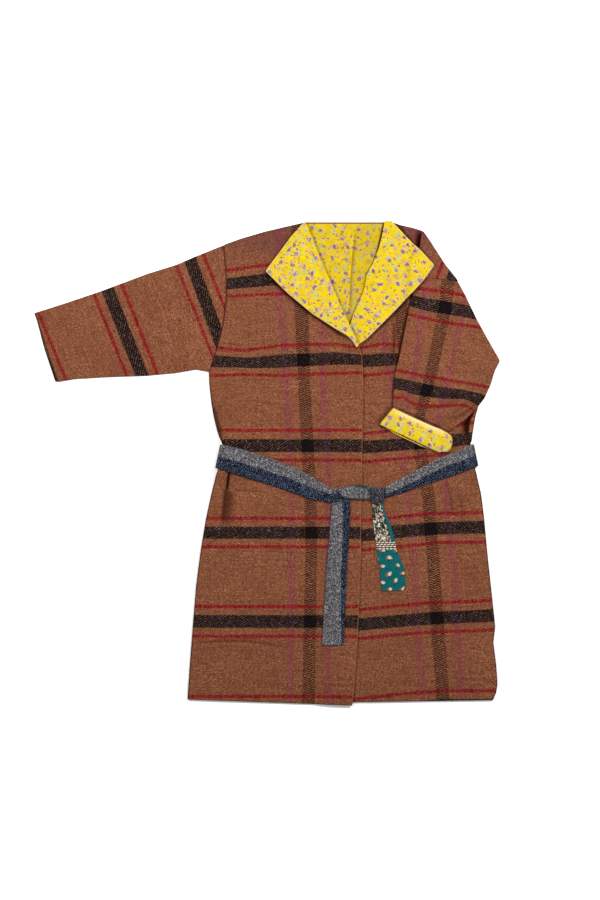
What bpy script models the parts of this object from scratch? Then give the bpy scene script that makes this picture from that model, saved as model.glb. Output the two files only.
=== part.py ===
"""A knee-length wrap coat of kimono cut, laid flat on its back with its belt tied.

The cloth is wool plaid with a cotton lining. One sleeve lies straight out and the other is folded down
over the front, with its cuff turned up. Sizes in the tables are millimetres in the part's own frame:
x runs across the coat, y from hem to neck, z up from the floor, with the origin under the middle.
"""

import math
from collections import namedtuple

import bpy
from mathutils import Vector
from mathutils.bvhtree import BVHTree

MM_PER_METRE = 1000.0

# Driving sizes, in millimetres
CLOTH = 2.4
LINING = 1.0
BELT = 2.4
SEAM_GAP = 0.3
SLEEVE_AIR = 2.6
SLEEVE_END_AIR = 0.5
PANEL_AIR = 2.2
AIR_WIDTH = 70.0
CUFF_WALL = 2.9
KNOT_HEIGHT = 6.0
CORNER = 4.0

# The spacing of the sections, and how far round a point a piece looks for what it rests on
PITCH = 32.0
BACK_PITCH = 42.0
SHOULDER_PITCH = 26.0
LAPEL_PITCH = 22.0
CUFF_PITCH = 20.0
NARROW_PITCH = 13.0
REACH_PER_PITCH = 1.45
REACH_RINGS = 5
REACH_SPOKES = 12
PROBE_HEIGHT = 200.0
NEAR_WALL = 0.6

# The armhole seam of the sleeve that lies out: its ends, and how far it bows towards the sleeve's side
ARMHOLE_TOP = (-92.0, 458.0)
ARMHOLE_LOW = (-122.0, 192.0)
ARMHOLE_BOW = 19.0
ARMHOLE_STEP = 20.0

# A section of a piece: its left and right ends
Section = namedtuple("Section", "left_x left_y right_x right_y")
# A level section of a body panel
Row = namedtuple("Row", "y left right")
# A soft ridge in a panel: its line, the width of its foot and its height
Ridge = namedtuple("Ridge", "x1 y1 x2 y2 width height")
# A level of the folded sleeve's root, from the body's side edge to its own right edge
RootRow = namedtuple("RootRow", "y right")
# A point of a ring's rounded end: how far in it is, as a share of the rounding, and its share of the height
RingPoint = namedtuple("RingPoint", "inset share")
# A point where the belt turns down at the coat's side: how far in, as a share of the corner, and how far down
TurnPoint = namedtuple("TurnPoint", "inset down")

BACK_ROWS = (
    Row(506, 79, 262),
    Row(500, 54, 279),
    Row(494, 30, 306),
    Row(487, -2, 328),
    Row(471, -56, 338),
    Row(458, -92, 346),
    Row(423, None, 367),
    Row(387, None, 387),
    Row(339, None, 415),
    Row(303, None, 425),
    Row(242, None, 434),
    Row(192, -122, 447),
    Row(164, -121, 449),
    Row(127, -117, 445),
    Row(97, -112, 436),
    Row(61, -103, 430),
    Row(47, -97, 429),
    Row(41, -86, 425),
    Row(11, -95, 431),
    Row(-14, -102, 436),
    Row(-23, -106, 439),
    Row(-67, -117, 449),
    Row(-116, -128, 455),
    Row(-182, -138, 461),
    Row(-266, -149, 468),
    Row(-344, -154, 473),
    Row(-422, -160, 476),
    Row(-493, -164, 471),
)
FRONT_RIGHT_ROWS = (
    Row(504, 73, 79),
    Row(498, 46, 83),
    Row(486, -5, 88),
    Row(471, -56, 94),
    Row(458, -92, 99),
    Row(414, None, 117),
    Row(374, None, 134),
    Row(335, None, 150),
    Row(305, None, 164),
    Row(276, None, 177),
    Row(248, None, 190),
    Row(226, None, 198),
    Row(192, -122, 200),
    Row(164, -121, 200),
    Row(127, -117, 200),
    Row(97, -112, 199),
    Row(61, -103, 199),
    Row(47, -97, 199),
    Row(41, -86, 199),
    Row(11, -95, 198),
    Row(-14, -102, 198),
    Row(-23, -106, 198),
    Row(-67, -117, 197),
    Row(-116, -128, 196),
    Row(-182, -139, 196),
    Row(-258, -149, 193),
    Row(-344, -156, 190),
    Row(-422, -162, 185),
)
FRONT_LEFT_ROWS = (
    Row(506, 248, 262),
    Row(500, 247, 279),
    Row(494, 246, 306),
    Row(487, 245, 328),
    Row(471, 241, 338),
    Row(453, 237, 349),
    Row(418, 223, 370),
    Row(397, 211, 381),
    Row(364, 205, 400),
    Row(339, 193, 415),
    Row(303, 179, 425),
    Row(242, 150, 434),
    Row(192, 132, 447),
    Row(164, 128, 449),
    Row(127, 125, 445),
    Row(97, 125, 436),
    Row(61, 125, 430),
    Row(47, 125, 429),
    Row(41, 125, 425),
    Row(11, 125, 431),
    Row(-14, 125, 436),
    Row(-23, 125, 439),
    Row(-67, 125, 449),
    Row(-116, 125, 455),
    Row(-182, 125, 461),
    Row(-266, 125, 470),
    Row(-344, 125, 478),
    Row(-422, 125, 483),
    Row(-474, 125, 480),
)
NECK_LINING_ROWS = (
    Row(503, 72, 256),
    Row(469, 84, 252),
    Row(431, 99, 242),
    Row(385, 118, 220),
    Row(343, 134, 205),
    Row(316, 147, 193),
    Row(292, 158, 184),
)
FRONT_RIGHT_HEM = Section(-167, -496, 178, -508)
FRONT_LEFT_HEM = Section(125, -502, 474, -497)
FRONT_RIGHT_RIDGES = (
    Ridge(-72, -20, -86, -110, 60, 3.0),
    Ridge(-60, 130, -84, 50, 70, 2.5),
    Ridge(20, -80, 60, -330, 110, 2.0),
)
FRONT_LEFT_RIDGES = (
    Ridge(235, 250, 228, 120, 60, 2.5),
    Ridge(405, -60, 420, -240, 90, 2.5),
    Ridge(300, -150, 290, -420, 120, 2.0),
)

SLEEVE_RIGHT = (
    Section(-489, 316, -440, 171),
    Section(-423, 337, -405, 177),
    Section(-349, 362, -340, 181),
    Section(-253, 398, -253, 184),
    Section(-192, 417, -190, 190),
    Section(-150, 435, -150, 197),
)
SHOULDER_FOLD = (
    Section(325, 486, 329, 485),
    Section(322, 455, 349, 452),
    Section(314, 415, 373, 415),
    Section(308, 393, 399, 383),
)
SLEEVE_LEFT = (
    Section(307, 391, 400, 382),
    Section(303, 353, 415, 355),
    Section(293, 303, 440, 302),
    Section(283, 253, 467, 253),
    Section(275, 214, 489, 215),
    Section(268, 192, 478, 194),
    Section(265, 169, 470, 166),
    Section(264, 139, 457, 137),
    Section(263, 124, 438, 113),
    Section(264, 119, 413, 89),
)
CUFF_LEFT = (
    Section(264, 116, 388, 62),
    Section(254, 104, 389, 51),
    Section(244, 93, 386, 37),
    Section(235, 80, 379, 23),
)
SLEEVE_ROOT_ROWS = (
    RootRow(320, 429),
    RootRow(295, 440),
    RootRow(255, 463),
    RootRow(216, 486),
    RootRow(194, 470),
    RootRow(174, 456),
)

LAPEL_RIGHT = (
    Section(74, 502, 79, 505),
    Section(48, 472, 86, 492),
    Section(-3, 403, 117, 414),
    Section(44, 356, 135, 374),
    Section(96, 313, 151, 335),
    Section(130, 291, 165, 305),
    Section(167, 268, 178, 276),
    Section(179, 256, 185, 263),
    Section(187, 243, 191, 248),
)
LAPEL_LEFT = (
    Section(247, 508, 262, 507),
    Section(242, 478, 293, 473),
    Section(236, 453, 321, 445),
    Section(222, 418, 349, 415),
    Section(210, 397, 329, 386),
    Section(204, 364, 305, 359),
    Section(191, 335, 270, 323),
    Section(182, 313, 237, 289),
    Section(173, 287, 207, 260),
    Section(174, 268, 192, 250),
)

# Belt sections run along the belt, from its lower to its upper edge
BELT_LEFT = (
    Section(-105, -11, -90, 40),
    Section(-78, -19, -64, 32),
    Section(-45, -30, -24, 20),
    Section(2, -44, 18, 6),
    Section(48, -60, 60, -11),
    Section(88, -74, 100, -32),
    Section(128, -82, 133, -52),
    Section(150, -80, 152, -54),
)
BELT_RIGHT = (
    Section(232, -72, 230, -54),
    Section(249, -72, 243, -53),
    Section(279, -64, 270, -38),
    Section(306, -54, 298, -23),
    Section(335, -44, 327, -7),
    Section(369, -32, 358, 9),
    Section(405, -20, 395, 24),
    Section(439, -6, 429, 38),
)
BELT_BACK = (
    Section(-105, -11, -90, 40),
    Section(439, -6, 429, 38),
)
TAIL_LEFT = (
    Section(137, -66, 172, -66),
    Section(134, -98, 174, -98),
    Section(130, -161, 171, -161),
    Section(123, -233, 166, -233),
    Section(119, -308, 163, -308),
    Section(115, -381, 160, -381),
)
TAIL_RIGHT = (
    Section(219, -54, 243, -52),
    Section(221, -98, 244, -98),
    Section(223, -128, 258, -128),
    Section(227, -157, 266, -157),
    Section(230, -177, 270, -177),
)
TAIL_TIP = (
    Section(230, -178, 270, -178),
    Section(236, -221, 286, -219),
    Section(240, -267, 291, -254),
)
KNOT = (
    Section(132, -80, 134, -53),
    Section(163, -77, 163, -50),
    Section(195, -75, 195, -48),
    Section(220, -75, 220, -51),
    Section(246, -73, 246, -54),
)

ROUND_END = (RingPoint(0.0, 0.5), RingPoint(0.3, 0.85))
SIDE_TURN = (TurnPoint(1.0, 0.0), TurnPoint(0.3, 0.2), TurnPoint(0.0, 0.6), TurnPoint(0.0, 1.0))

Finish = namedtuple("Finish", "red green blue roughness")
WOOL = Finish(0.27, 0.12, 0.06, 0.95)
FLORAL = Finish(0.85, 0.66, 0.02, 0.8)
TWEED = Finish(0.16, 0.18, 0.22, 0.95)
TEAL = Finish(0.01, 0.2, 0.19, 0.85)


def mix(a, b, share):
    return a + (b - a) * share


def smooth(share):
    share = min(1.0, max(0.0, share))
    return share * share * (3.0 - 2.0 * share)


def armhole_x(y):
    """The x of the armhole seam at a height y."""
    share = (ARMHOLE_TOP[1] - y) / (ARMHOLE_TOP[1] - ARMHOLE_LOW[1])
    return mix(ARMHOLE_TOP[0], ARMHOLE_LOW[0], share) + ARMHOLE_BOW * math.sin(math.pi * share)


def body_sections(rows, hem=None):
    """Level sections of a body panel. A row with no left edge ends at the curved armhole, which gets more."""
    sections = []
    for above, below in zip(rows, rows[1:]):
        curved = above.left is None or below.left is None
        steps = math.ceil((above.y - below.y) / ARMHOLE_STEP) if curved else 1
        for step in range(steps):
            y = mix(above.y, below.y, step / steps)
            left = armhole_x(y) if curved else above.left
            sections.append(Section(left, y, mix(above.right, below.right, step / steps), y))
    last = rows[-1]
    sections.append(Section(last.left, last.y, last.right, last.y))
    if hem:
        sections.append(hem)
    return sections


def edge_x(rows, y):
    """The x of a panel's right edge at a height y."""
    for above, below in zip(rows, rows[1:]):
        if below.y <= y <= above.y:
            return mix(above.right, below.right, (above.y - y) / (above.y - below.y))
    raise ValueError("no row at this height")


def spaced(sections, pitch):
    """The sections with more between them, so that none are further apart than the pitch."""
    filled = [sections[0]]
    for before, after in zip(sections, sections[1:]):
        left = math.dist(before[:2], after[:2])
        right = math.dist(before[2:], after[2:])
        steps = max(1, math.ceil(max(left, right) / pitch))
        for step in range(1, steps + 1):
            filled.append(Section(*(mix(a, b, step / steps) for a, b in zip(before, after))))
    return filled


def faces_up(sections):
    """Whether a sheet with these sections as rows has its upper side up."""
    first, last = sections[0], sections[-1]
    down = Vector((last.left_x + last.right_x - first.left_x - first.right_x,
                   last.left_y + last.right_y - first.left_y - first.right_y))
    middle = sections[len(sections) // 2]
    across = Vector((middle.right_x - middle.left_x, middle.right_y - middle.left_y))
    return across.x * -down.y + across.y * down.x > 0


def turned(section):
    return Section(section.right_x, section.right_y, section.left_x, section.left_y)


def prepared(sections, pitch):
    """Spaced sections, and the number of columns that keeps to the pitch."""
    rows = spaced(sections, pitch)
    if not faces_up(rows):
        rows = [turned(row) for row in rows]
    widest = max(math.dist(row[:2], row[2:]) for row in rows)
    return rows, max(3, math.ceil(widest / pitch))


def along(section, share):
    return (
        mix(section.left_x, section.right_x, share),
        mix(section.left_y, section.right_y, share),
    )


class Pile:
    """The pieces laid so far. A new piece rests on whatever it covers, or on the floor."""

    def __init__(self):
        self.trees = {}

    def add(self, piece):
        graph = bpy.context.evaluated_depsgraph_get()
        self.trees[piece.name] = BVHTree.FromObject(piece, graph)

    def top(self, x, y, beside):
        start = Vector((x, y, PROBE_HEIGHT)) / MM_PER_METRE
        highest = None
        for name, tree in self.trees.items():
            if name in beside:
                continue
            hit = tree.ray_cast(start, Vector((0.0, 0.0, -1.0)))[0]
            if hit is not None and (highest is None or hit.z > highest):
                highest = hit.z
        return None if highest is None else highest * MM_PER_METRE

    def rest(self, x, y, reach, beside=()):
        """The height of a piece's underside at a point: clear of all that lies within reach of it."""
        found = [self.top(x, y, beside)]
        for ring in range(1, REACH_RINGS + 1):
            radius = reach * ring / REACH_RINGS
            for spoke in range(REACH_SPOKES):
                angle = 2.0 * math.pi * spoke / REACH_SPOKES
                found.append(self.top(x + radius * math.cos(angle), y + radius * math.sin(angle), beside))
        found = [height for height in found if height is not None]
        return max(found) + SEAM_GAP if found else 0.0


def make_material(name, finish):
    material = bpy.data.materials.new(name)
    material.use_nodes = True
    shader = material.node_tree.nodes["Principled BSDF"]
    shader.inputs["Base Color"].default_value = (finish.red, finish.green, finish.blue, 1.0)
    shader.inputs["Roughness"].default_value = finish.roughness
    shader.inputs["Metallic"].default_value = 0.0
    return material


def make_object(name, grid, finish, ring=False, caps=False):
    """An object from rows of points in millimetres. With ring, each row closes on itself."""
    width = len(grid[0])
    points = [Vector(point) / MM_PER_METRE for row in grid for point in row]
    faces = []
    for row in range(len(grid) - 1):
        for column in range(width if ring else width - 1):
            following = (column + 1) % width
            faces.append((
                row * width + column,
                (row + 1) * width + column,
                (row + 1) * width + following,
                row * width + following,
            ))
    if caps:
        faces.append(tuple(range(width)))
        faces.append(tuple((len(grid) - 1) * width + column for column in reversed(range(width))))
    mesh = bpy.data.meshes.new(name)
    mesh.from_pydata(points, [], faces)
    mesh.materials.append(make_material(name + "_cloth", finish))
    mesh.shade_smooth()
    piece = bpy.data.objects.new(name, mesh)
    COAT.objects.link(piece)
    return piece


def add_wall(piece, thickness, outward):
    """Gives an open surface its thickness, on the side that its faces point to or on the other."""
    wall = piece.modifiers.new("Cloth wall", "SOLIDIFY")
    wall.thickness = thickness / MM_PER_METRE
    wall.offset = 1.0 if outward else -1.0
    wall.use_even_offset = True


def settle(piece):
    bpy.context.view_layer.update()
    PILE.add(piece)
    return piece


def ridge_height(ridges, x, y):
    """How far the ridges lift a panel at a point."""
    lift = 0.0
    for ridge in ridges:
        start = Vector((ridge.x1, ridge.y1))
        run = Vector((ridge.x2, ridge.y2)) - start
        share = min(1.0, max(0.0, (Vector((x, y)) - start).dot(run) / run.length_squared))
        distance = (Vector((x, y)) - start - run * share).length
        lift += ridge.height * smooth(1.0 - distance / ridge.width)
    return lift


def lay_panel(name, sections, finish, pitch=PITCH, thickness=CLOTH, air=0.0, ridges=(), beside=()):
    """A sheet of cloth laid on the pile, with some air under it away from its side edges."""
    rows, columns = prepared(sections, pitch)
    reach = pitch * REACH_PER_PITCH
    grid = []
    for row in rows:
        width = math.dist(row[:2], row[2:])
        line = []
        for column in range(columns + 1):
            share = column / columns
            x, y = along(row, share)
            lift = air * smooth(min(share, 1.0 - share) * width / AIR_WIDTH)
            lift += ridge_height(ridges, x, y)
            line.append((x, y, PILE.rest(x, y, reach, beside) + lift))
        grid.append(line)
    piece = make_object(name, grid, finish)
    add_wall(piece, thickness, outward=True)
    return settle(piece)


def ring_profile(columns):
    """A flattened ring: along its top from left to right, round its right end and back below."""
    across = [column / columns for column in range(columns + 1)]
    shoulder = ROUND_END[-1]
    profile = [("left", point.inset, point.share) for point in ROUND_END]
    profile += [("across", share, 1.0) for share in across]
    profile += [("right", point.inset, point.share) for point in reversed(ROUND_END)]
    profile += [("right", shoulder.inset, 1.0 - shoulder.share)]
    profile += [("across", share, 0.0) for share in reversed(across)]
    profile += [("left", shoulder.inset, 1.0 - shoulder.share)]
    return profile


def ring_points(row, profile, height, reach, beside):
    """One ring of a flattened tube or bar, with rounded ends, resting on the pile."""
    width = math.dist(row[:2], row[2:])
    rounding = min(height / 2.0, width / 4.0)
    points = []
    for place, amount, share in profile:
        if place == "across":
            distance = mix(rounding, width - rounding, amount)
        elif place == "left":
            distance = rounding * amount
        else:
            distance = width - rounding * amount
        x, y = along(row, distance / width)
        points.append((x, y, PILE.rest(x, y, reach, beside) + height * share))
    return points


def lay_tube(name, sections, finish, heights, wall, pitch=PITCH, beside=(), end_line=None):
    """A flattened tube, open at both ends. Its height goes from the first of heights to the last."""
    rows, columns = prepared(sections, pitch)
    profile = ring_profile(columns)
    reach = pitch * REACH_PER_PITCH
    grid = []
    for number, row in enumerate(rows):
        place = number / (len(rows) - 1) * (len(heights) - 1)
        first = min(int(place), len(heights) - 2)
        height = mix(heights[first], heights[first + 1], place - first)
        grid.append(ring_points(row, profile, height, reach, beside))
    if end_line:
        grid[-1] = [(end_line(y), y, z) for x, y, z in grid[-1]]
    piece = make_object(name, grid, finish, ring=True)
    add_wall(piece, wall, outward=False)
    return settle(piece)


def lay_bar(name, sections, finish, height, pitch=PITCH, beside=()):
    """A closed flat bar with rounded edges: layers of cloth that can't be seen share it."""
    rows, columns = prepared(sections, pitch)
    profile = ring_profile(columns)
    reach = pitch * REACH_PER_PITCH
    grid = [ring_points(row, profile, height, reach, beside) for row in rows]
    return settle(make_object(name, grid, finish, ring=True, caps=True))


def end_turn(row, inward, rest_height, half_height):
    """The rows that take a strip round the coat's side: along the end, over its corner and down."""
    turn = []
    for point in SIDE_TURN:
        moved = [(x + inward * point.inset * CORNER, y) for x, y in (row[:2], row[2:])]
        turn.append((moved, mix(rest_height, half_height, point.down)))
    return turn


def lay_stretch(name, sections, wrap_first, wrap_last, beside=()):
    """A stretch of the belt that lies on the coat and turns down at one end, round the side."""
    rows, columns = prepared(sections, NARROW_PITCH)
    reach = NARROW_PITCH * REACH_PER_PITCH
    ends = {0: wrap_first, len(rows) - 1: wrap_last}
    grid = []
    for number, row in enumerate(rows):
        shares = [column / columns for column in range(columns + 1)]
        spots = [along(row, share) for share in shares]
        heights = [PILE.rest(x, y, reach, beside) for x, y in spots]
        if not ends.get(number):
            grid.append([(x, y, z) for (x, y), z in zip(spots, heights)])
            continue
        inward = 1.0 if number == 0 else -1.0
        turn = end_turn(row, inward, max(heights), SIDE_MIDDLE + SEAM_GAP / 2.0)
        lines = []
        for (left, right), z in turn:
            moved = Section(*left, *right)
            lines.append([(*along(moved, share), z) for share in shares])
        grid += list(reversed(lines)) if number == 0 else lines
    piece = make_object(name, grid, TWEED)
    add_wall(piece, BELT, outward=True)
    return settle(piece)


def lay_belt_back():
    """The plain stretch of belt on the floor under the coat, turned up at both sides."""
    rows, columns = prepared(BELT_BACK, BACK_PITCH)
    shares = [column / columns for column in range(columns + 1)]
    first = end_turn(rows[0], 1.0, BELT, SIDE_MIDDLE - SEAM_GAP / 2.0)
    last = end_turn(rows[-1], -1.0, BELT, SIDE_MIDDLE - SEAM_GAP / 2.0)
    lines = list(reversed(first))
    lines += [((row[:2], row[2:]), BELT) for row in rows[1:-1]]
    lines += last
    grid = []
    for (left, right), z in lines:
        moved = Section(*left, *right)
        grid.append([(*along(moved, share), z) for share in shares])
    piece = make_object("belt_back", grid, TWEED)
    add_wall(piece, BELT, outward=False)
    return settle(piece)


def lay_body():
    """The back, its lining at the neck, and the front that lies under the other."""
    lay_panel("back", body_sections(BACK_ROWS), WOOL, pitch=BACK_PITCH)
    lay_panel("back_lining", body_sections(NECK_LINING_ROWS), FLORAL, thickness=LINING)
    lay_panel(
        "front_left",
        body_sections(FRONT_LEFT_ROWS, FRONT_LEFT_HEM),
        WOOL,
        air=PANEL_AIR,
        ridges=FRONT_LEFT_RIDGES,
    )


def lay_folded_sleeve():
    """The left sleeve: its flat root, the shoulder corner turned over, the sleeve on it and the cuff."""
    body = ("back", "back_lining", "front_left")
    doubled = 2.0 * CLOTH + SEAM_GAP
    root = []
    for row in SLEEVE_ROOT_ROWS:
        root.append(Section(edge_x(BACK_ROWS, row.y) + NEAR_WALL, row.y, row.right, row.y))
    lay_bar("sleeve_left_root", root, WOOL, doubled, beside=body)
    lay_bar("shoulder_fold", SHOULDER_FOLD, WOOL, doubled, pitch=SHOULDER_PITCH)
    cuff_start = CUFF_LEFT[0]
    last = Section(
        cuff_start.left_x + SEAM_GAP,
        cuff_start.left_y + 2.0 * SEAM_GAP,
        cuff_start.right_x + SEAM_GAP,
        cuff_start.right_y + 2.0 * SEAM_GAP,
    )
    full = 2.0 * CLOTH + SLEEVE_AIR
    flat = 2.0 * CLOTH + SLEEVE_END_AIR
    lay_tube(
        "sleeve_left",
        (*SLEEVE_LEFT, last),
        WOOL,
        (flat, full, full, full, flat),
        CLOTH,
        beside=("shoulder_fold",),
    )
    cuff = 2.0 * CUFF_WALL + 2.0 * SLEEVE_END_AIR
    lay_tube(
        "cuff_left",
        CUFF_LEFT,
        FLORAL,
        (cuff, cuff),
        CUFF_WALL,
        pitch=CUFF_PITCH,
        beside=("sleeve_left",),
    )


def lay_fronts_and_lapels():
    """The left lapel, then the right front over it, then the right lapel."""
    lay_panel("lapel_left", LAPEL_LEFT, FLORAL, pitch=LAPEL_PITCH)
    lay_panel(
        "front_right",
        body_sections(FRONT_RIGHT_ROWS, FRONT_RIGHT_HEM),
        WOOL,
        air=PANEL_AIR,
        ridges=FRONT_RIGHT_RIDGES,
    )
    lay_panel("lapel_right", LAPEL_RIGHT, FLORAL, pitch=LAPEL_PITCH)


def lay_straight_sleeve():
    """The right sleeve, straight out on the floor. It ends a seam's gap short of the armhole."""
    full = 2.0 * CLOTH + SLEEVE_AIR
    flat = 2.0 * CLOTH + SLEEVE_END_AIR
    low = Section(ARMHOLE_TOP[0] - NEAR_WALL, ARMHOLE_TOP[1], ARMHOLE_LOW[0] - NEAR_WALL, ARMHOLE_LOW[1])
    lay_tube(
        "sleeve_right",
        (*SLEEVE_RIGHT, low),
        WOOL,
        (flat, full, full, full, flat),
        CLOTH,
        beside=tuple(PILE.trees),
        end_line=lambda y: armhole_x(y) - NEAR_WALL,
    )


def lay_belt():
    """The belt on the front: tails, the two stretches, the knot over them and the tail out of it."""
    lay_panel("belt_tail_left", TAIL_LEFT, TWEED, pitch=NARROW_PITCH, thickness=BELT)
    lay_stretch("belt_left", BELT_LEFT, wrap_first=True, wrap_last=False, beside=("belt_back",))
    lay_stretch("belt_right", BELT_RIGHT, wrap_first=False, wrap_last=True, beside=("belt_back",))
    lay_bar("belt_knot", KNOT, TWEED, KNOT_HEIGHT, pitch=NARROW_PITCH)
    lay_panel("belt_tail_right", TAIL_RIGHT, TWEED, pitch=NARROW_PITCH, thickness=BELT)
    tip = [Section(s.left_x, s.left_y - SEAM_GAP, s.right_x, s.right_y - SEAM_GAP) for s in TAIL_TIP]
    lay_panel(
        "belt_tip_right", tip, TEAL, pitch=NARROW_PITCH, thickness=BELT, beside=("belt_tail_right",)
    )


def clear_scene():
    for thing in list(bpy.data.objects):
        bpy.data.objects.remove(thing)


clear_scene()
COAT = bpy.data.collections.new("wrap_coat")
bpy.context.scene.collection.children.link(COAT)
PILE = Pile()
# Half way up the coat's side at the belt: two panels on the back stretch, each with its gap
SIDE_MIDDLE = BELT + SEAM_GAP + CLOTH + SEAM_GAP / 2.0

lay_belt_back()
lay_body()
lay_folded_sleeve()
lay_fronts_and_lapels()
lay_straight_sleeve()
lay_belt()
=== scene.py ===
"""The looks of a knee-length wrap coat of kimono cut, laid flat on its back and seen from straight above.

Every piece is a thin wall of cloth with rounded edges, laid on the pieces below it, with its creases placed
one by one. Sizes are millimetres in the coat's own frame: x across, y from hem to neck, z up from the floor.
The materials work in metres on the cloth, and their colours are screen values from 0 to 255.
"""

import math
from collections import namedtuple
from functools import partialmethod

import bpy
import numpy as np
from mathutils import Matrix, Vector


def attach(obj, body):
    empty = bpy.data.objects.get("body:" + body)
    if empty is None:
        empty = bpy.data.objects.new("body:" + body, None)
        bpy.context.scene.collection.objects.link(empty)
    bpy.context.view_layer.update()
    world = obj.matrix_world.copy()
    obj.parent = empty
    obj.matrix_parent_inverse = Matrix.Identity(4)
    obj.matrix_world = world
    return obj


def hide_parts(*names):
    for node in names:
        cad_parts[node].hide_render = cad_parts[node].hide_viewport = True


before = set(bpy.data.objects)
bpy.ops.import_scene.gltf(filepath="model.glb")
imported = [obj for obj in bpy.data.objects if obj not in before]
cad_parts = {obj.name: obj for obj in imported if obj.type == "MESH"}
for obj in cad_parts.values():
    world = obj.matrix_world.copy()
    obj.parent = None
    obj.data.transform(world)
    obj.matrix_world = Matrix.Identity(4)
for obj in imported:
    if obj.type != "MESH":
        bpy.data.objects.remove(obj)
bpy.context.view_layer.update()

MM = 0.001

# The photograph's frame, the millimetres that one of its pixels covers, and the camera
PHOTO_WIDTH, PHOTO_HEIGHT = 600, 900
PHOTO_SCALE = 2.1
PHOTO_ORIGIN = (267.25, 463.25)
LENS = 85.0
SENSOR = 36.0

# The studio, in metres: its floor, and how high the coat's top lies, to which the camera's distance is taken
FLOOR_SIZE, FLOOR_LEVEL = 14.0, -0.0006
COAT_TOP = 0.008
# How bright it is, for which the colours are lowered, and the strength of its even light from all round
LIGHT = 1.6
SKY = 0.6

# Thickness of the cloths and the air between the walls
CLOTH = 2.4
LINING = 1.0
BELT = 2.4
SEAM_GAP = 0.3
SLEEVE_AIR = 2.6
SLEEVE_END_AIR = 0.5
PANEL_AIR = 4.0
END_BLEND = 70.0
LAPEL_WALL = 3.2
LEFT_SLEEVE_END_AIR = 4.6
CUFF_AIR = 3.0
CUFF_WALL = 2.9
KNOT_HEIGHT = 5.0
# How near the armhole's seam a sleeve ends
NEAR_WALL = 0.6
# How high a lapel lies at its roll line, how much higher at its free edge, and the width of its slope
LAPEL_ROLL, LAPEL_RISE, LAPEL_SLOPE = 1.0, 4.0, 30.0
# How far the second layer shows at the mouth of the cuff and of the right sleeve, and how far in it goes
CUFF_MOUTH, CUFF_MOUTH_DEPTH = 6.5, 25.0
SLEEVE_MOUTH, SLEEVE_MOUTH_DEPTH = 4.5, 40.0
# How far in the right front's opening edge counts as lying, so that its air goes on up to it, and how far
# the right front and the left lapel keep clear of the steps that they cross
STIFF_OPENING = 26.0
OPENING_REACH, LAPEL_REACH = 14.0, 10.0

# The width from its sides in which a panel or a tube comes to hold all its air, and the width in which the
# creases of a tube or a bar come to their full height. A panel's hem lies HEM_AIR into its width.
AIR_WIDTH, TUBE_AIR_WIDTH = 50.0, 45.0
TUBE_EDGE, BAR_EDGE = 14.0, 10.0
HEM_AIR = 4.0

# The belt: how far it keeps from what it crosses, its ripples' height and lengths, how far it lifts, the
# radius of its turn round the coat's side, and the height at which its front and its back meet there
BELT_REACH = 5.0
BELT_RIPPLE = 0.3
BELT_WAVES = (30.0, 80.0)
BELT_LIFT = 0.2
CORNER = 4.0
SIDE_MIDDLE = BELT + SEAM_GAP + CLOTH + SEAM_GAP / 2.0

# The spacing of the points of the fine surfaces, and of the height maps that they are laid on
GRID = 3.6
FINE_GRID = 2.5
BACK_GRID = 7.0
CELL = 2.0
FIELD = 540.0
FILL = 3
REACH = 6.0
RIM_ANGLES = (35.0, 65.0, 90.0, 115.0, 145.0)
RIM_BULGE = 0.7
SIDE_ANGLES = np.linspace(0.0, math.pi, 8)[1:-1]
TURN_ANGLES = np.linspace(0.0, math.pi / 2.0, 6)
# An edge distance for the sides that have no edge of their own
FAR = 100.0

ARMHOLE_TOP = (-92.0, 458.0)
ARMHOLE_LOW = (-122.0, 192.0)
ARMHOLE_BOW = 19.0

# Where the middle of the back is, and how far from it each group of its lengthwise stripes lies
BACK_MIDDLE, BACK_GROUP = 152.0, 124.0
# The duller shade of the shoulders: the x of its lowest point, how it rises to the sides, its start and width
SHADE_MIDDLE, SHADE_SLOPE, SHADE_START, SHADE_WIDTH = 150.0, 0.25, 360.0, 80.0
# The fold in the lining at the neck: the heights of its ends, and their x
NECK_FOLD = ((316.0, 494.0), (173.0, 184.0))
# Points of the lines where the knot's cloths meet, at its left, its right and its teal trim, and their slopes
KNOT_LEFT, KNOT_LEFT_SLOPE = (151.0, -60.0), 0.9
KNOT_RIGHT, KNOT_RIGHT_SLOPE = (226.0, -66.0), 0.3
TRIM, TRIM_SLOPE = (185.0, -50.0), 0.25
TRIM_SIDES = (181.0, 214.0)

# How soft a fold line's end is, how far its shade reaches and how wide a soft corner is
FOLD_END = 14.0
FOLD_REACH = 12.0
SOFT_CORNER = 0.25

# The yarns in metres, then the plaid: its repeat, half its black band and half its twill band, and where its
# red and purple lines lie from the bands' middles, with half their widths
YARN, PRINT_YARN, PATCH_YARN = 0.0012, 0.0006, 0.0009
REPEAT = 0.183
BLACK_HALF = 0.0130
TWILL_HALF = 0.0132
RED_PLACE, RED_HALF = 0.0303, 0.0036
PURPLE_PLACE, PURPLE_HALF = 0.040, 0.0068
DASH_RUN, DASH_RISE = 0.0085, 0.0049

# The pieced tail, in metres along it: where the stitched and the budded cloths begin, and their repeats
STITCHED_START, BUDDED_START = 0.117, 0.1305
FIRST_ROW, STITCH_ROW, STITCH, STITCH_SPACE = 0.1175, 0.0043, 0.0078, 0.0021
BUD_ACROSS, BUD_DOWN = 0.0295, 0.033
# Where its tip starts, in millimetres along it
TIP_START = 127.0

Section = namedtuple("Section", "left_x left_y right_x right_y")
Row = namedtuple("Row", "y left right")
RootRow = namedtuple("RootRow", "y right")
# A stripe woven in the cloth: its place in the plaid, and the points of the line it takes on the laid coat
Stripe = namedtuple("Stripe", "place line")
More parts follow.
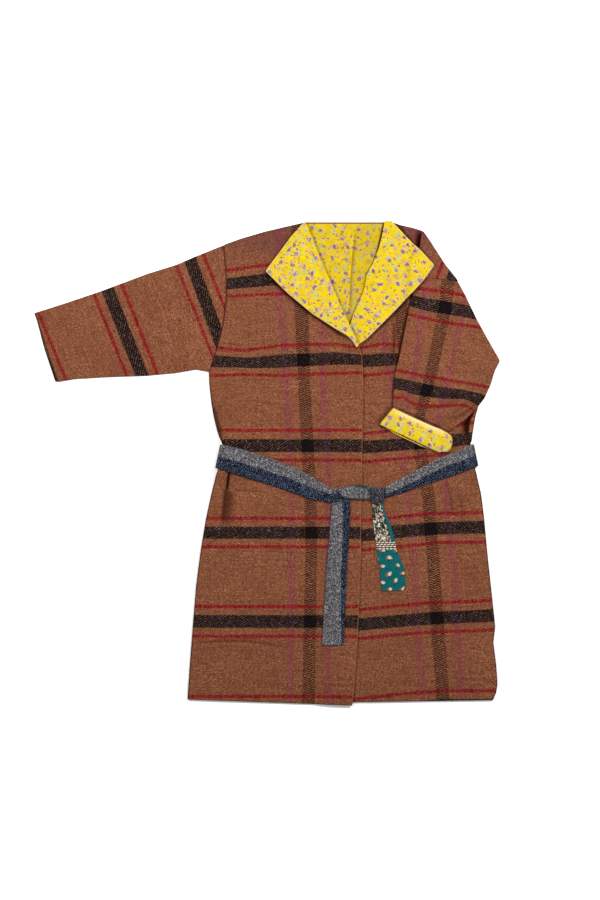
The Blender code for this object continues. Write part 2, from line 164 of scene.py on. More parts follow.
# A crease: its ends, how far its middle bows, the width and height of its swell, and how it leans, if it does
Crease = namedtuple("Crease", "x1 y1 x2 y2 bow width height lean", defaults=(0.0,))
# Painted shade beside a line, on its left as the line runs, where a fold or the edge of a piece over it casts
# shade: its ends, bow, width and strength. A strength below zero is a painted highlight on a lit roll
# instead.
Fold = namedtuple("Fold", "x1 y1 x2 y2 bow width strength")
# A printed motif: the size of its cell and a shift of the scatter, its radius, its petals and their swell
Motif = namedtuple("Motif", "cell shift radius petals swell")
Lamp = namedtuple("Lamp", "name x y z size power")


def table(kind, *rows):
    """Rows of plain numbers as records of one kind."""
    return tuple(kind(*row) for row in rows)


SMALL_DABS = Motif(0.0062, 3.7, 0.0023, 2.0, 0.34)
LARGE_DABS = Motif(0.0098, 11.3, 0.0036, 2.0, 0.34)
BUDS = Motif(0.0160, 2.3, 0.0036, 3.0, 0.2)
PALE_FLOWERS = Motif(0.0172, 7.9, 0.0058, 4.0, 0.24)
DARK_FLOWERS = Motif(0.0245, 5.1, 0.0062, 2.0, 0.16)
FULL_TURN = 6.28

LAMPS = table(
    Lamp, ("right_light", 1.0, 0.75, 1.6, 0.45, 32.5), ("left_light", -1.0, 0.75, 1.6, 0.45, 25.5),
)

BACK_ROWS = table(
    Row, (506, 79, 262), (500, 54, 279), (494, 30, 306), (487, -2, 328), (471, -56, 338), (458, -92, 346),
    (423, None, 367), (387, None, 387), (339, None, 415), (303, None, 425), (242, None, 434),
    (192, -122, 447), (164, -121, 449), (127, -117, 445), (97, -112, 436), (61, -103, 430), (47, -97, 429),
    (41, -93, 425), (11, -95, 431), (-14, -102, 436), (-23, -106, 439), (-67, -117, 449), (-116, -128, 455),
    (-182, -138, 461), (-266, -149, 468), (-344, -154, 473), (-376, -157, 470), (-422, -160, 476),
    (-493, -164, 471),
)
FRONT_RIGHT_ROWS = table(
    Row, (504, 73, 79), (498, 46, 83), (486, -5, 88), (471, -56, 94), (458, -92, 99), (414, None, 117),
    (374, None, 134), (335, None, 150), (305, None, 164), (276, None, 177), (248, None, 190),
    (226, None, 198), (192, -122, 200), (164, -121, 200), (127, -115, 200), (97, -109, 199), (61, -99, 199),
    (47, -95, 199), (41, -93, 199), (11, -95, 198), (-14, -102, 198), (-23, -106, 198), (-67, -117, 197),
    (-116, -128, 196), (-182, -139, 196), (-258, -149, 193), (-344, -156, 190), (-422, -162, 185),
)
FRONT_RIGHT_HEM = Section(-167, -496, 178, -508)
FRONT_LEFT_ROWS = table(
    Row, (506, 248, 262), (500, 247, 279), (494, 246, 306), (487, 245, 328), (471, 241, 338),
    (453, 237, 349), (418, 223, 370), (397, 211, 381), (364, 205, 400), (339, 193, 415), (303, 179, 425),
    (242, 150, 434), (192, 132, 447), (164, 128, 449), (127, 125, 445), (97, 125, 436), (61, 125, 430),
    (47, 125, 429), (41, 125, 425), (11, 125, 431), (-14, 125, 436), (-23, 125, 439), (-67, 125, 449),
    (-116, 125, 455), (-182, 125, 461), (-266, 125, 470), (-344, 125, 478), (-376, 125, 474),
    (-422, 125, 480), (-464, 125, 483), (-482, 125, 480),
)
FRONT_LEFT_HEM = Section(125, -502, 474, -497)
NECK_LINING_ROWS = table(
    Row, (503, 72, 244), (469, 84, 237), (444, 94, 230), (431, 99, 232), (412, 107, 229), (385, 118, 220),
    (343, 134, 205), (316, 147, 193), (292, 158, 184),
)
SLEEVE_RIGHT = table(
    Section, (-489, 316, -440, 171), (-423, 337, -405, 177), (-349, 362, -340, 181), (-253, 398, -253, 184),
    (-192, 417, -190, 190), (-150, 435, -150, 197),
)
SHOULDER_FOLD = table(
    Section, (325, 486, 329, 485), (322, 455, 349, 452), (314, 415, 373, 415), (308, 393, 399, 383),
)
SLEEVE_LEFT = table(
    Section, (307, 391, 400, 382), (303, 353, 415, 355), (293, 303, 440, 302), (283, 253, 467, 253),
    (275, 214, 489, 215), (268, 192, 478, 194), (265, 169, 470, 166), (264, 139, 457, 137),
    (263, 124, 438, 113), (264, 119, 413, 89),
)
CUFF_LEFT = table(
    Section, (264, 116, 378, 64), (259, 110, 387, 57), (252, 102, 389, 45), (245, 93, 386, 32),
    (239, 87, 379, 24), (237, 82, 362, 23),
)
SLEEVE_ROOT_ROWS = table(
    RootRow, (320, 429), (295, 440), (255, 463), (216, 486), (194, 470), (174, 456),
)
LAPEL_RIGHT = table(
    Section, (74, 502, 79, 505), (48, 472, 86, 492), (-3, 403, 117, 414), (44, 356, 135, 374),
    (96, 313, 151, 335), (130, 291, 165, 305), (167, 268, 178, 276), (179, 256, 185, 263),
    (187, 243, 191, 248),
)
LAPEL_LEFT = table(
    Section, (247, 508, 262, 507), (242, 478, 293, 473), (236, 453, 321, 445), (222, 418, 349, 415),
    (210, 397, 329, 386), (204, 364, 305, 359), (191, 335, 270, 323), (182, 313, 237, 289),
    (173, 287, 207, 260), (174, 268, 192, 250),
)
BELT_LEFT = table(
    Section, (-107, -10, -97, 38), (-78, -19, -64, 32), (-45, -30, -24, 20), (2, -44, 18, 6),
    (48, -60, 60, -11), (88, -74, 100, -32), (128, -82, 133, -52), (150, -80, 152, -54),
)
BELT_RIGHT = table(
    Section, (232, -72, 230, -54), (249, -72, 243, -53), (279, -64, 270, -38), (306, -54, 298, -23),
    (335, -44, 327, -7), (369, -32, 358, 9), (405, -20, 395, 24), (441, -6, 432, 39),
)
BELT_BACK = table(
    Section, (-107, -10, -97, 38), (441, -6, 432, 39),
)
TAIL_LEFT = table(
    Section, (137, -66, 172, -66), (134, -98, 174, -98), (130, -161, 171, -161), (123, -233, 166, -233),
    (119, -308, 163, -308), (115, -381, 160, -381),
)
TAIL_RIGHT = table(
    Section, (213, -53, 243, -52), (219, -70, 244, -70), (221, -98, 244, -98), (223, -128, 258, -128),
    (227, -157, 266, -157), (230, -177, 270, -177),
)
TAIL_TIP = table(
    Section, (230, -178, 270, -178), (236, -221, 286, -219), (240, -258, 291, -252), (241, -267, 285, -266),
)
KNOT = table(
    Section, (144, -68, 146, -55), (160, -72, 161, -51), (178, -74, 178, -48), (195, -75, 195, -47),
    (220, -75, 220, -51), (246, -73, 246, -54),
)

# The stripes across the cloth, from the neck down, and those that run along it
FRONT_RIGHT_ACROSS = table(
    Stripe, (153, (-85, 405, -1, 416)), (183, (-85, 376, -5, 385)), (213, (-85, 351, 38, 356)),
    (336, (-95, 242, -51, 237, 37, 248, 142, 250, 178, 244)),
    (366, (-101, 214, -30, 209, 60, 216, 142, 220, 188, 219)),
    (396, (-122, 184, -51, 187, 29, 184, 109, 188, 195, 190)), (519, (-112, 69, 197, 69)),
    (549, (-99, 36, 197, 36)), (579, (6, 7, 197, 7)), (702, (-127, -116, 195, -116)),
    (732, (-127, -146, 195, -146)), (762, (-131, -175, 195, -175)), (885, (-152, -301, 193, -301)),
    (915, (-154, -332, 191, -332)), (945, (-156, -363, 188, -363)), (1068, (-166, -490, 178, -490)),
)
FRONT_RIGHT_ALONG = table(
    Stripe, (-40, (25, 490, 25, 343, 33, 259, 39, 175, 46, 28, 52, -125, 50, -329, 48, -476)),
    (0, (67, 427, 73, 290, 78, 150, 84, 40, 94, -146, 90, -329, 87, -445)),
    (40, (117, 278, 117, 175, 123, 55, 128, -18, 128, -403, 131, -474)),
)
FRONT_LEFT_ACROSS = table(
    Stripe, (336, (196, 242, 241, 250, 283, 248)), (366, (201, 215, 275, 217)), (396, (206, 184, 262, 191)),
    (519, (201, 62, 245, 66, 432, 85)), (549, (201, 34, 386, 45, 432, 51)),
    (579, (201, 3, 279, 10, 363, 18)), (702, (201, -121, 256, -115, 333, -106, 451, -104)),
    (732, (199, -151, 266, -144, 359, -137, 459, -133)),
    (762, (199, -182, 279, -175, 359, -166, 464, -165)),
    (885, (193, -308, 277, -299, 338, -293, 470, -289)), (915, (191, -339, 338, -327, 470, -320)),
    (945, (191, -368, 277, -359, 348, -354, 470, -350)),
    (1068, (180, -496, 277, -485, 373, -478, 480, -478)),
)
FRONT_LEFT_ALONG = table(
    Stripe, (-40, (243, 280, 264, 133, 283, 17, 296, -77, 309, -209, 312, -306, 317, -377, 325, -474)),
    (0, (281, 343, 287, 259, 308, 133, 324, 7, 340, -77, 348, -209, 355, -319, 361, -390, 367, -463)),
    (40, (329, 259, 350, 133, 375, -54, 382, -138, 391, -209, 396, -306, 402, -377, 409, -470)),
)
BACK_ACROSS = table(
    Stripe, (183, (-85, 378, 380, 378)), (1068, (-166, -490, 480, -484)),
)
SLEEVE_RIGHT_ACROSS = table(
    Stripe, (30, (-481, 315, -424, 177)), (153, (-364, 357, -295, 185)), (183, (-336, 365, -264, 184)),
    (213, (-305, 374, -230, 186)), (336, (-190, 414, -113, 223)), (366, (-161, 427, -101, 249)),
    (396, (-135, 439, -89, 326)),
)
SLEEVE_RIGHT_ALONG = table(
    Stripe, (-360, (-489, 316, -92, 458)), (-150, (-440, 171, -122, 192)),
)
SLEEVE_LEFT_ACROSS = table(
    Stripe, (153, (319, 366, 371, 359, 415, 352)), (183, (303, 340, 342, 330, 374, 326, 432, 314)),
    (213, (300, 311, 335, 303, 374, 295, 445, 285)), (336, (270, 195, 325, 183, 374, 175, 464, 159)),
    (366, (270, 167, 335, 154, 373, 146, 410, 143, 440, 136, 454, 132)),
    (396, (267, 138, 287, 138, 301, 126, 329, 120, 360, 120, 390, 122, 411, 123, 422, 119, 430, 113,
           436, 106)),
)
SLEEVE_LEFT_ALONG = table(
    Stripe, (-40, (331, 343, 322, 299, 312, 215, 296, 133)),
    (0, (378, 389, 375, 328, 362, 271, 346, 202, 327, 133)), (40, (412, 326, 398, 266, 383, 190, 369, 133)),
)
SHOULDER_ACROSS = table(
    Stripe, (-30, (369, 423, 361, 402)), (0, (398, 418, 392, 393)),
)

FRONT_RIGHT_CREASES = table(
    Crease, (-106, 138, -86, 30, -3, 6.5, 6.0, -0.4), (-94, 136, -74, 36, -3, 10, -3.5),
    (-89, -4, -104, -150, -2, 8.4, 7.5, -0.43), (-76, -8, -89, -136, -2, 12, -5.0),
    (-110, 250, -44, 242, 3, 14, 3.0), (-101, 250, -54, 243, 3, 3, -5.0, 0.3),
    (-78, -52, 0, -60, -3, 14, 2.4), (-72, -56, -10, -58, -3, 3, -5.0, 0.3),
    (-160, -382, 60, -389, 10, 14, 2.6), (-152, -382, 38, -389, 10, 3.4, -6.0, 0.3),
    (20, -80, 60, -330, 12, 60, 3.0), (-72, -120, -40, -300, -10, 40, 2.6),
    (-120, -180, -90, -340, -6, 18, 1.8), (150, -110, 160, -460, 4, 26, 1.6),
    (-70, 330, -30, 150, 12, 34, 2.0), (40, 200, 70, 20, 8, 50, 1.8),
)
# Lines of painted shade beside folds, creases and the edges of the pieces that lie over the fronts, sleeve
# and neck
FRONT_RIGHT_FOLDS = table(
    Fold, (-106, 136, -78, 24, -2, 26, 0.15), (-114, 122, -95, 48, 0, 7, 0.7),
    (-80, 4, -89, -62, -1, 12, 1.15), (-88, -34, -98, -130, -2, 36, 0.75), (178, 258, 50, 346, 0, 11, 0.8),
    (110, 302, -3, 402, 3, 11, 0.8), (-3, 404, 74, 503, 0, 5, 0.5), (-101, 250, -54, 243, 3, 5, 0.35),
    (-72, -56, -10, -58, -3, 4, 0.35), (-152, -382, 38, -389, 10, 5, 0.4),
)
FRONT_LEFT_FOLDS = table(
    Fold, (261, 300, 260, 218, 2, 14, 0.55), (264, 122, 303, 348, 4, 7, 0.85),
    (233, 80, 262, 117, 0, 12, 0.6), (372, 24, 236, 81, 0, 8, 0.9), (425, 54, 440, 114, 6, 24, 1.15),
    (457, 139, 402, 84, -3, 14, 0.8), (316, 418, 329, 489, 0, 22, 1.3), (262, 507, 349, 415, 0, 7, 0.7),
    (349, 415, 192, 250, 7, 10, 0.7), (369, -36, 384, -104, 5, 12, 0.35), (396, -50, 406, -120, 3, 12, 0.3),
)
SLEEVE_LEFT_FOLDS = table(
    Fold, (440, 132, 380, 96, 6, 12, 0.45), (400, 140, 330, 120, 6, 12, 0.3),
    (349, 415, 192, 250, 7, 10, 0.7), (264, 119, 378, 67, 0, 4, 0.8),
)
SHOULDER_FOLDS = table(
    Fold, (262, 507, 349, 415, 0, 7, 0.7),
)
# The cuff: a painted highlight along its rolled upper edge, and painted shadow in the gap under its lower
# edge
CUFF_FOLDS = table(
    Fold, (378, 66, 264, 118, 0, 16, -1.0), (350, 28, 268, 66, 0, 3.2, 0.95),
)
NECK_LINING_FOLDS = table(
    Fold, (184, 490, 172, 306, -3, 9, 0.55), (229, 428, 246, 502, 0, 5, 1.0),
)
FRONT_LEFT_CREASES = table(
    Crease, (257, 308, 256, 210, 2, 9, 6.0, -0.45), (266, 300, 265, 216, 2, 8, -5.0),
    (426, 56, 435, 112, 3, 4, 3.0), (416, 56, 427, 112, 3, 6, -5.0), (235, 250, 228, 120, 4, 40, 2.2),
    (369, -30, 388, -110, 5, 14, 3.6, 0.2), (400, -42, 408, -126, 3, 12, 3.2, -0.2),
    (386, -36, 398, -110, 3, 7, -2.8), (330, -50, 340, -110, 3, 14, 2.0),
    (405, -60, 420, -240, 10, 50, 2.4), (300, -150, 290, -420, 14, 70, 2.6),
    (452, -310, 458, -400, 4, 22, 2.4), (222, -330, 216, -470, 3, 30, 2.0),
    (420, -180, 400, -330, 8, 30, 1.8),
)
SLEEVE_RIGHT_CREASES = table(
    Crease, (-140, 200, -186, 300, 10, 26, 2.4), (-150, 196, -240, 230, 8, 18, 2.0),
    (-300, 200, -330, 330, -8, 34, 1.6), (-420, 210, -400, 320, 8, 30, 1.4),
)
SLEEVE_LEFT_CREASES = table(
    Crease, (318, 124, 400, 146, 8, 9, 2.6, 0.2), (350, 100, 420, 128, -6, 10, 3.0, -0.2),
    (372, 92, 444, 138, 6, 8, 2.8, 0.3), (330, 112, 352, 158, 4, 10, -2.4), (396, 96, 428, 122, 3, 6, -2.6),
    (300, 190, 330, 300, 10, 26, 1.6), (420, 200, 470, 214, 5, 16, 2.0), (380, 220, 440, 300, -6, 24, 1.6),
)
NECK_LINING_CREASES = table(
    Crease, (182, 494, 170, 306, -3, 5, 2.6, -0.4), (237, 501, 231, 470, 0, 4, 1.6),
    (226, 500, 216, 430, 0, 7, 2.4),
)
KNOT_CREASES = table(
    Crease, (150, -71, 186, -54, 2, 3.4, -2.2), (170, -73, 206, -64, 2, 3.4, -1.6),
    (150, -58, 190, -50, 2, 3.0, -1.6), (206, -74, 214, -50, 2, 4.0, -2.2),
)
LAPEL_LEFT_CREASES = table(
    Crease, (247, 500, 238, 428, 0, 9, 4.0), (262, 450, 300, 380, 6, 30, 1.6),
)
LAPEL_RIGHT_CREASES = table(
    Crease, (30, 440, 80, 350, 8, 30, 1.6), (74, 470, 60, 420, 3, 14, 1.2),
)


def mix(a, b, share):
    return a + (b - a) * share


def smooth(share):
    share = np.clip(share, 0.0, 1.0)
    return share * share * (3.0 - 2.0 * share)


def armhole_x(y):
    """The x of the armhole seam at a height y."""
    share = (ARMHOLE_TOP[1] - y) / (ARMHOLE_TOP[1] - ARMHOLE_LOW[1])
    return mix(ARMHOLE_TOP[0], ARMHOLE_LOW[0], share) + ARMHOLE_BOW * np.sin(math.pi * share)


def body_sections(rows, hem=None):
    """Level sections of a body panel. A row with no left edge ends at the curved armhole."""
    sections = []
    for above, below in zip(rows, rows[1:]):
        curved = above.left is None or below.left is None
        steps = math.ceil((above.y - below.y) / GRID) if curved else 1
        for step in range(steps):
            y = mix(above.y, below.y, step / steps)
            left = armhole_x(y) if curved else above.left
            sections.append(Section(left, y, mix(above.right, below.right, step / steps), y))
    last = rows[-1]
    sections.append(Section(last.left, last.y, last.right, last.y))
    return sections + [hem] if hem else sections


class Layout:
    """The flat layout of a piece: points x and y in rows across it, and how far each is from its edges."""

    def __init__(self, sections, pitch, softness=1):
        ends = np.array(sections, float)
        left = np.hypot(*(ends[1:, :2] - ends[:-1, :2]).T)
        right = np.hypot(*(ends[1:, 2:] - ends[:-1, 2:]).T)
        place = np.concatenate([[0.0], np.cumsum(np.maximum(left, right))])
        count = max(4, math.ceil(place[-1] / pitch) + 1)
        spots = np.linspace(0.0, place[-1], count)
        rows = np.stack([np.interp(spots, place, ends[:, column]) for column in range(4)], axis=1)
        for _ in range(softness):
            rows[1:-1] = (rows[:-2] + 2.0 * rows[1:-1] + rows[2:]) / 4.0
        if not self.faces_up(rows):
            rows = rows[:, [2, 3, 0, 1]]
        self.rows = rows
        width = np.hypot(rows[:, 2] - rows[:, 0], rows[:, 3] - rows[:, 1])
        columns = max(4, math.ceil(width.max() / pitch) + 1)
        share = np.linspace(0.0, 1.0, columns)
        self.x = mix(rows[:, :1], rows[:, 2:3], share)
        self.y = mix(rows[:, 1:2], rows[:, 3:4], share)
        self.share = np.broadcast_to(share, self.x.shape)
        self.width = np.broadcast_to(width[:, None], self.x.shape)
        steps = np.hypot(np.diff(self.x, axis=0), np.diff(self.y, axis=0))
        run = np.concatenate([np.zeros((1, columns)), np.cumsum(steps, axis=0)])
        self.from_first = run
        self.from_last = run[-1:] - run
        self.from_left = self.share * self.width
        self.from_right = (1.0 - self.share) * self.width
        self.from_side = np.minimum(self.from_left, self.from_right)

    @staticmethod
    def faces_up(rows):
        middle = rows[len(rows) // 2]
        down = rows[-1, :2] + rows[-1, 2:] - rows[0, :2] - rows[0, 2:]
        across = middle[2:] - middle[:2]
        return down[0] * across[1] - down[1] * across[0] > 0

    def cut(self, sides=1):
        """The width and length of the cut, and its area, for cloth that lies once, or twice in a tube."""
        x, y = np.concatenate([self.rows[:, :2], self.rows[::-1, 2:]]).T
        area = 0.5 * abs(np.dot(x, np.roll(y, 1)) - np.dot(y, np.roll(x, 1)))
        return (float(self.width.max()) * sides, float(self.from_first[-1].max())), area * sides


def edges(side=None, pale=None, last=None):
    """How far each point lies from the edges that its material shades, by their names in the layout."""
    def distances(layout):
        far = np.full(layout.x.shape, FAR)
        return np.stack([getattr(layout, name) if name else far for name in (side, pale, last)], axis=2)
    return distances


ALL_EDGES = edges("from_side", last="from_last")


def cells(value):
    return np.clip((value + FIELD) / CELL, 0.0, 2.0 * FIELD / CELL - 1.001)


def refined(grid):
    """A grid of points with more between them, to fill a height map."""
    rows, columns = grid.shape[:2]
    down = np.linspace(0, rows - 1, (rows - 1) * FILL + 1)
    low = np.minimum(down.astype(int), rows - 2)
    grid = mix(grid[low], grid[low + 1], (down - low)[:, None, None])
    across = np.linspace(0, columns - 1, (columns - 1) * FILL + 1)
    low = np.minimum(across.astype(int), columns - 2)
    return mix(grid[:, low], grid[:, low + 1], (across - low)[None, :, None])


def spread(field, reach):
    """A height map in which each cell is as high as all that lies within reach of it, with soft slopes."""
    steps = max(1, int(round(reach / CELL)))
    for axis in (0, 1):
        field = np.max([np.roll(field, step, axis) for step in range(-steps, steps + 1)], axis=0)
    half = max(1, steps // 2)
    for axis in (0, 0, 1, 1):
        field = np.mean([np.roll(field, step, axis) for step in range(-half, half + 1)], axis=0)
    return field


class Pile:
    """Height maps of the pieces laid so far. A new piece rests on whatever it covers, or on the floor."""

    def __init__(self):
        self.maps = {}

    def add(self, name, top):
        size = int(2.0 * FIELD / CELL)
        field = np.zeros((size, size))
        points = refined(top).reshape(-1, 3)
        column, row = (cells(points[:, axis]).astype(int) for axis in (0, 1))
        np.maximum.at(field, (row, column), points[:, 2])
        self.maps[name] = field

    def rest(self, x, y, reach=REACH, beside=()):
        """The height of a piece's underside: clear of all that lies within reach of it."""
        under = [field for name, field in self.maps.items() if name not in beside]
        if not under:
            return np.zeros(x.shape)
        field = spread(np.max(under, axis=0), reach)
        field = field + SEAM_GAP * np.clip(field / SEAM_GAP, 0.0, 1.0)
        column, row = cells(x), cells(y)
        left, low = column.astype(int), row.astype(int)
        across, up = column - left, row - low
        lower = mix(field[low, left], field[low, left + 1], across)
        upper = mix(field[low + 1, left], field[low + 1, left + 1], across)
        return mix(lower, upper, up)


def beside_line(line, x, y):
    """How far each point is along a bowed line, 0 to 1, how far past its ends and how far to its side."""
    run = np.array([line.x2 - line.x1, line.y2 - line.y1], float)
    length = np.hypot(*run)
    run /= length
    along = ((x - line.x1) * run[0] + (y - line.y1) * run[1]) / length
    inside = np.clip(along, 0.0, 1.0)
    side = (y - line.y1) * run[0] - (x - line.x1) * run[1]
    side = side - line.bow * 4.0 * inside * (1.0 - inside)
    return inside, np.abs(along - inside) * length, side


def crease_height(creases, x, y):
    """How far the creases lift or lower a laid cloth at each point: most at a crease's middle."""
    total = np.zeros(x.shape)
    for crease in creases:
        inside, past, side = beside_line(crease, x, y)
        width = crease.width * (1.0 + crease.lean * np.sign(side))
        swell = np.exp(-((side / width) ** 2) - (past / crease.width / 1.5) ** 2)
        total += crease.height * swell * (0.45 + 0.55 * np.sin(math.pi * inside))
    return total


def fold_shade(folds, x, y):
    """The painted shade of the nearest fold or edge line at each point: how far to its side, how strong and
    how wide.
    """
    nearest = np.zeros(x.shape)
    result = np.zeros((*x.shape, 3))
    for line in folds:
        inside, past, side = beside_line(line, x, y)
        strength = line.strength * smooth(1.0 - past / FOLD_END) * smooth(0.3 + np.sin(math.pi * inside))
        nearness = (np.abs(strength) + 0.001) * np.exp(-np.abs(side) / FOLD_REACH)
        chosen = nearness > nearest
        nearest = np.where(chosen, nearness, nearest)
        values = np.stack([side, strength / MM, np.full_like(side, line.width)], axis=2)
        result = np.where(chosen[:, :, None], values, result)
    return result


def ripples(x, y, seed, size, shortest=60.0, longest=190.0):
    """Low uneven waves, as any laid cloth has: a sum of a few long waves in different directions."""
    random = np.random.default_rng(seed)
    waves = 7
    total = np.zeros(x.shape)
    for _ in range(waves):
        angle = random.uniform(0.0, 2.0 * math.pi)
        length = random.uniform(shortest, longest)
        phase = random.uniform(0.0, 2.0 * math.pi)
        total += np.sin((x * math.cos(angle) + y * math.sin(angle)) * 2.0 * math.pi / length + phase)
    return size * total / math.sqrt(waves)


def above_zero(lift):
    """The lift, kept from going below zero, with a soft corner."""
    return 0.5 * (lift + np.sqrt(lift * lift + SOFT_CORNER * SOFT_CORNER)) - 0.5 * SOFT_CORNER


def carried_on(at, places, values, most=80.0):
    """A line's value at each place, going on straight past the line's ends."""
    near = np.clip(at, places[0] - most, places[-1] + most)
    result = np.interp(near, places, values)
    first = (values[1] - values[0]) / (places[1] - places[0])
    last = (values[-1] - values[-2]) / (places[-1] - places[-2])
    result += np.minimum(near - places[0], 0.0) * first
    return result + np.maximum(near - places[-1], 0.0) * last


def woven_place(stripes, x, y, level=True):
    """The cloth's own coordinate across a set of stripes, which lie level or else run up and down."""
    along, across = (x, y) if level else (y, x)
    lines = []
    for stripe in stripes:
        points = np.array(stripe.line, float).reshape(-1, 2)
        if not level:
            points = points[:, ::-1]
        points = points[np.argsort(points[:, 0])]
        lines.append(carried_on(along, points[:, 0], points[:, 1]))
    places = [stripe.place for stripe in stripes]
    if lines[0].mean() > lines[-1].mean():
        lines = [-line for line in lines]
        across = -across
    result = np.where(across < lines[0], places[0] + across - lines[0], places[-1] + across - lines[-1])
    for before, after, first, last in zip(lines, lines[1:], places, places[1:]):
        share = (across - before) / np.maximum(after - before, 1.0)
        inside = (across >= before) & (across < after)
        result = np.where(inside, mix(first, last, share), result)
    return result


def normals_of(grid):
    normal = np.cross(np.gradient(grid, axis=0), np.gradient(grid, axis=1))
    return normal / np.maximum(np.linalg.norm(normal, axis=2, keepdims=True), 1e-9)


def grid_faces(rows, columns, start, ring, inward):
    """Quads between the points of a grid."""
    steps = np.arange(columns if ring else columns - 1)
    row, column = np.meshgrid(np.arange(rows - 1), steps, indexing="ij")
    following = (column + 1) % columns
    corners = ((row, column), (row + 1, column), (row + 1, following), (row, following))
    faces = start + np.stack([(down * columns + across).ravel() for down, across in corners], axis=1)
    return faces[:, ::-1] if inward else faces


def perimeters(rows, columns, ring):
    """The closed walks round a grid's open edges, as indices of its points, and the points beside them."""
    index = np.arange(rows * columns).reshape(rows, columns)
    if ring:
        return [(index[0], index[1]), (index[-1, ::-1], index[-2, ::-1])]
    walk = [index[0], index[1:-1, -1], index[-1, ::-1], index[-2:0:-1, 0]]
    beside = [index[1], index[1:-1, -2], index[-2, ::-1], index[-2:0:-1, 1]]
    return [(np.concatenate(walk), np.concatenate(beside))]


def rim_profile(layers):
    """The section of an edge: a half round for each layer of cloth, as shares outward and up."""
    profile = []
    for layer in range(layers):
        middle = 1.0 - (2.0 * layer + 1.0) / layers
        for angle in RIM_ANGLES:
            turn = math.radians(angle)
            profile.append((math.sin(turn) / layers, middle + math.cos(turn) / layers))
        if layer < layers - 1:
            profile.append((0.0, middle - 1.0 / layers))
    return profile


def wall(outer, inner, ring=False, layers=1):
    """Points, faces and the source of each point, for a closed wall between two grids with rounded edges.

    The source is a point of the grid, its neighbour further in, and how far past it the cloth runs on, as a
    share of the step between the two. The last result is the range of the faces on the inner grid.
    """
    rows, columns = outer.shape[:2]
    count = rows * columns
    outer, inner = outer.reshape(-1, 3), inner.reshape(-1, 3)
    points = [outer, inner]
    source = [np.stack([np.arange(count), np.arange(count), np.zeros(count)])] * 2
    faces = [grid_faces(rows, columns, 0, ring, False), grid_faces(rows, columns, count, ring, True)]
    total = 2 * count
    for walk, beside in perimeters(rows, columns, ring):
        middle = (outer[walk] + inner[walk]) / 2.0
        up = (outer[walk] - inner[walk]) / 2.0
        outward = np.cross(up, np.roll(middle, -1, axis=0) - np.roll(middle, 1, axis=0))
        outward /= np.maximum(np.linalg.norm(outward, axis=1, keepdims=True), 1e-9)
        half = np.linalg.norm(up, axis=1)
        outward *= half[:, None] * RIM_BULGE
        step = np.maximum(np.linalg.norm(outer[walk] - outer[beside], axis=1), 0.1)
        loops = [walk]
        for out, high in rim_profile(layers):
            points.append(middle + outward * out + up * high)
            source.append(np.stack([walk, beside, (1.0 - high) * half / step]))
            loops.append(total + np.arange(len(walk)))
            total += len(walk)
        loops.append(walk + count)
        for first, second in zip(loops, loops[1:]):
            faces.append(np.stack((first, np.roll(first, -1), np.roll(second, -1), second), axis=1))
    inside = (len(faces[0]), len(faces[0]) + len(faces[1]))
    return np.concatenate(points), np.concatenate(faces), np.concatenate(source, axis=1), inside


def add_piece(name, made, attributes, look):
    """The finished object of a wall: its mesh, its cloth coordinates and its materials.

    A look with a second material gives it to the faces inside the wall.
    """
    materials, slot = look
    points, faces, source, inside = made
    mesh = bpy.data.meshes.new(name)
    mesh.from_pydata(points * MM, [], faces)
    near, further, past = source[0].astype(int), source[1].astype(int), source[2][:, None]
    for title, values in attributes.items():
        attribute = mesh.attributes.new(title, "FLOAT_VECTOR", "POINT")
        values = values.reshape(-1, 3)
        run_on = (values[near] - values[further]) * past if title == "cloth" else 0.0
        values = (values[near] + run_on) * MM
        attribute.data.foreach_set("vector", values.astype(np.float32).ravel())
    for material in materials:
        mesh.materials.append(material)
    if len(materials) > 1:
        index = np.zeros(len(faces), np.int32)
        index[inside[0]:inside[1]] = 1
        mesh.polygons.foreach_set("material_index", index)
    mesh.shade_smooth()
    piece = bpy.data.objects.new(name, mesh)
    COAT.objects.link(piece)
    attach(piece, "root")
    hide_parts(name)
    return piece


def declare(piece, flat, area, held, rests_on):
    """Turns a piece's flat width and length into metres, and goes no further; its area is not used."""
    flat = (flat[0] * MM, flat[1] * MM)


def lay_panel(
    name, sections, cloth_of, look, *, rests_on, held="laid", pitch=GRID, thickness=CLOTH, air=0.0,
    reach=REACH, creases=(), folds=(), ripple=0.0, seed=1, layers=1, shape=None, shades=ALL_EDGES,
    stiff_right=0.0,
):
    """A sheet of cloth laid on the pile, with air under it away from its edges."""
    layout = Layout(sections, pitch)
    x, y = layout.x, layout.y
    nearest = np.minimum(layout.from_left, layout.from_right + stiff_right)
    inner = smooth(np.minimum(nearest, layout.from_last + HEM_AIR) / AIR_WIDTH)
    lift = air * inner + crease_height(creases, x, y) + ripples(x, y, seed, ripple) * (0.3 + 0.7 * inner)
    if shape:
        lift += shape(layout)
    under = np.stack([x, y, PILE.rest(x, y, reach) + above_zero(lift)], axis=2)
    top = under + normals_of(under) * thickness
    PILE.add(name, top)
    attributes = {
        "cloth": cloth_of(x, y), "edges": shades(layout), "folds": fold_shade(folds, x, y),
    }
    piece = add_piece(name, wall(top, under, layers=layers), attributes, look)
    declare(piece, *layout.cut(), held, rests_on)


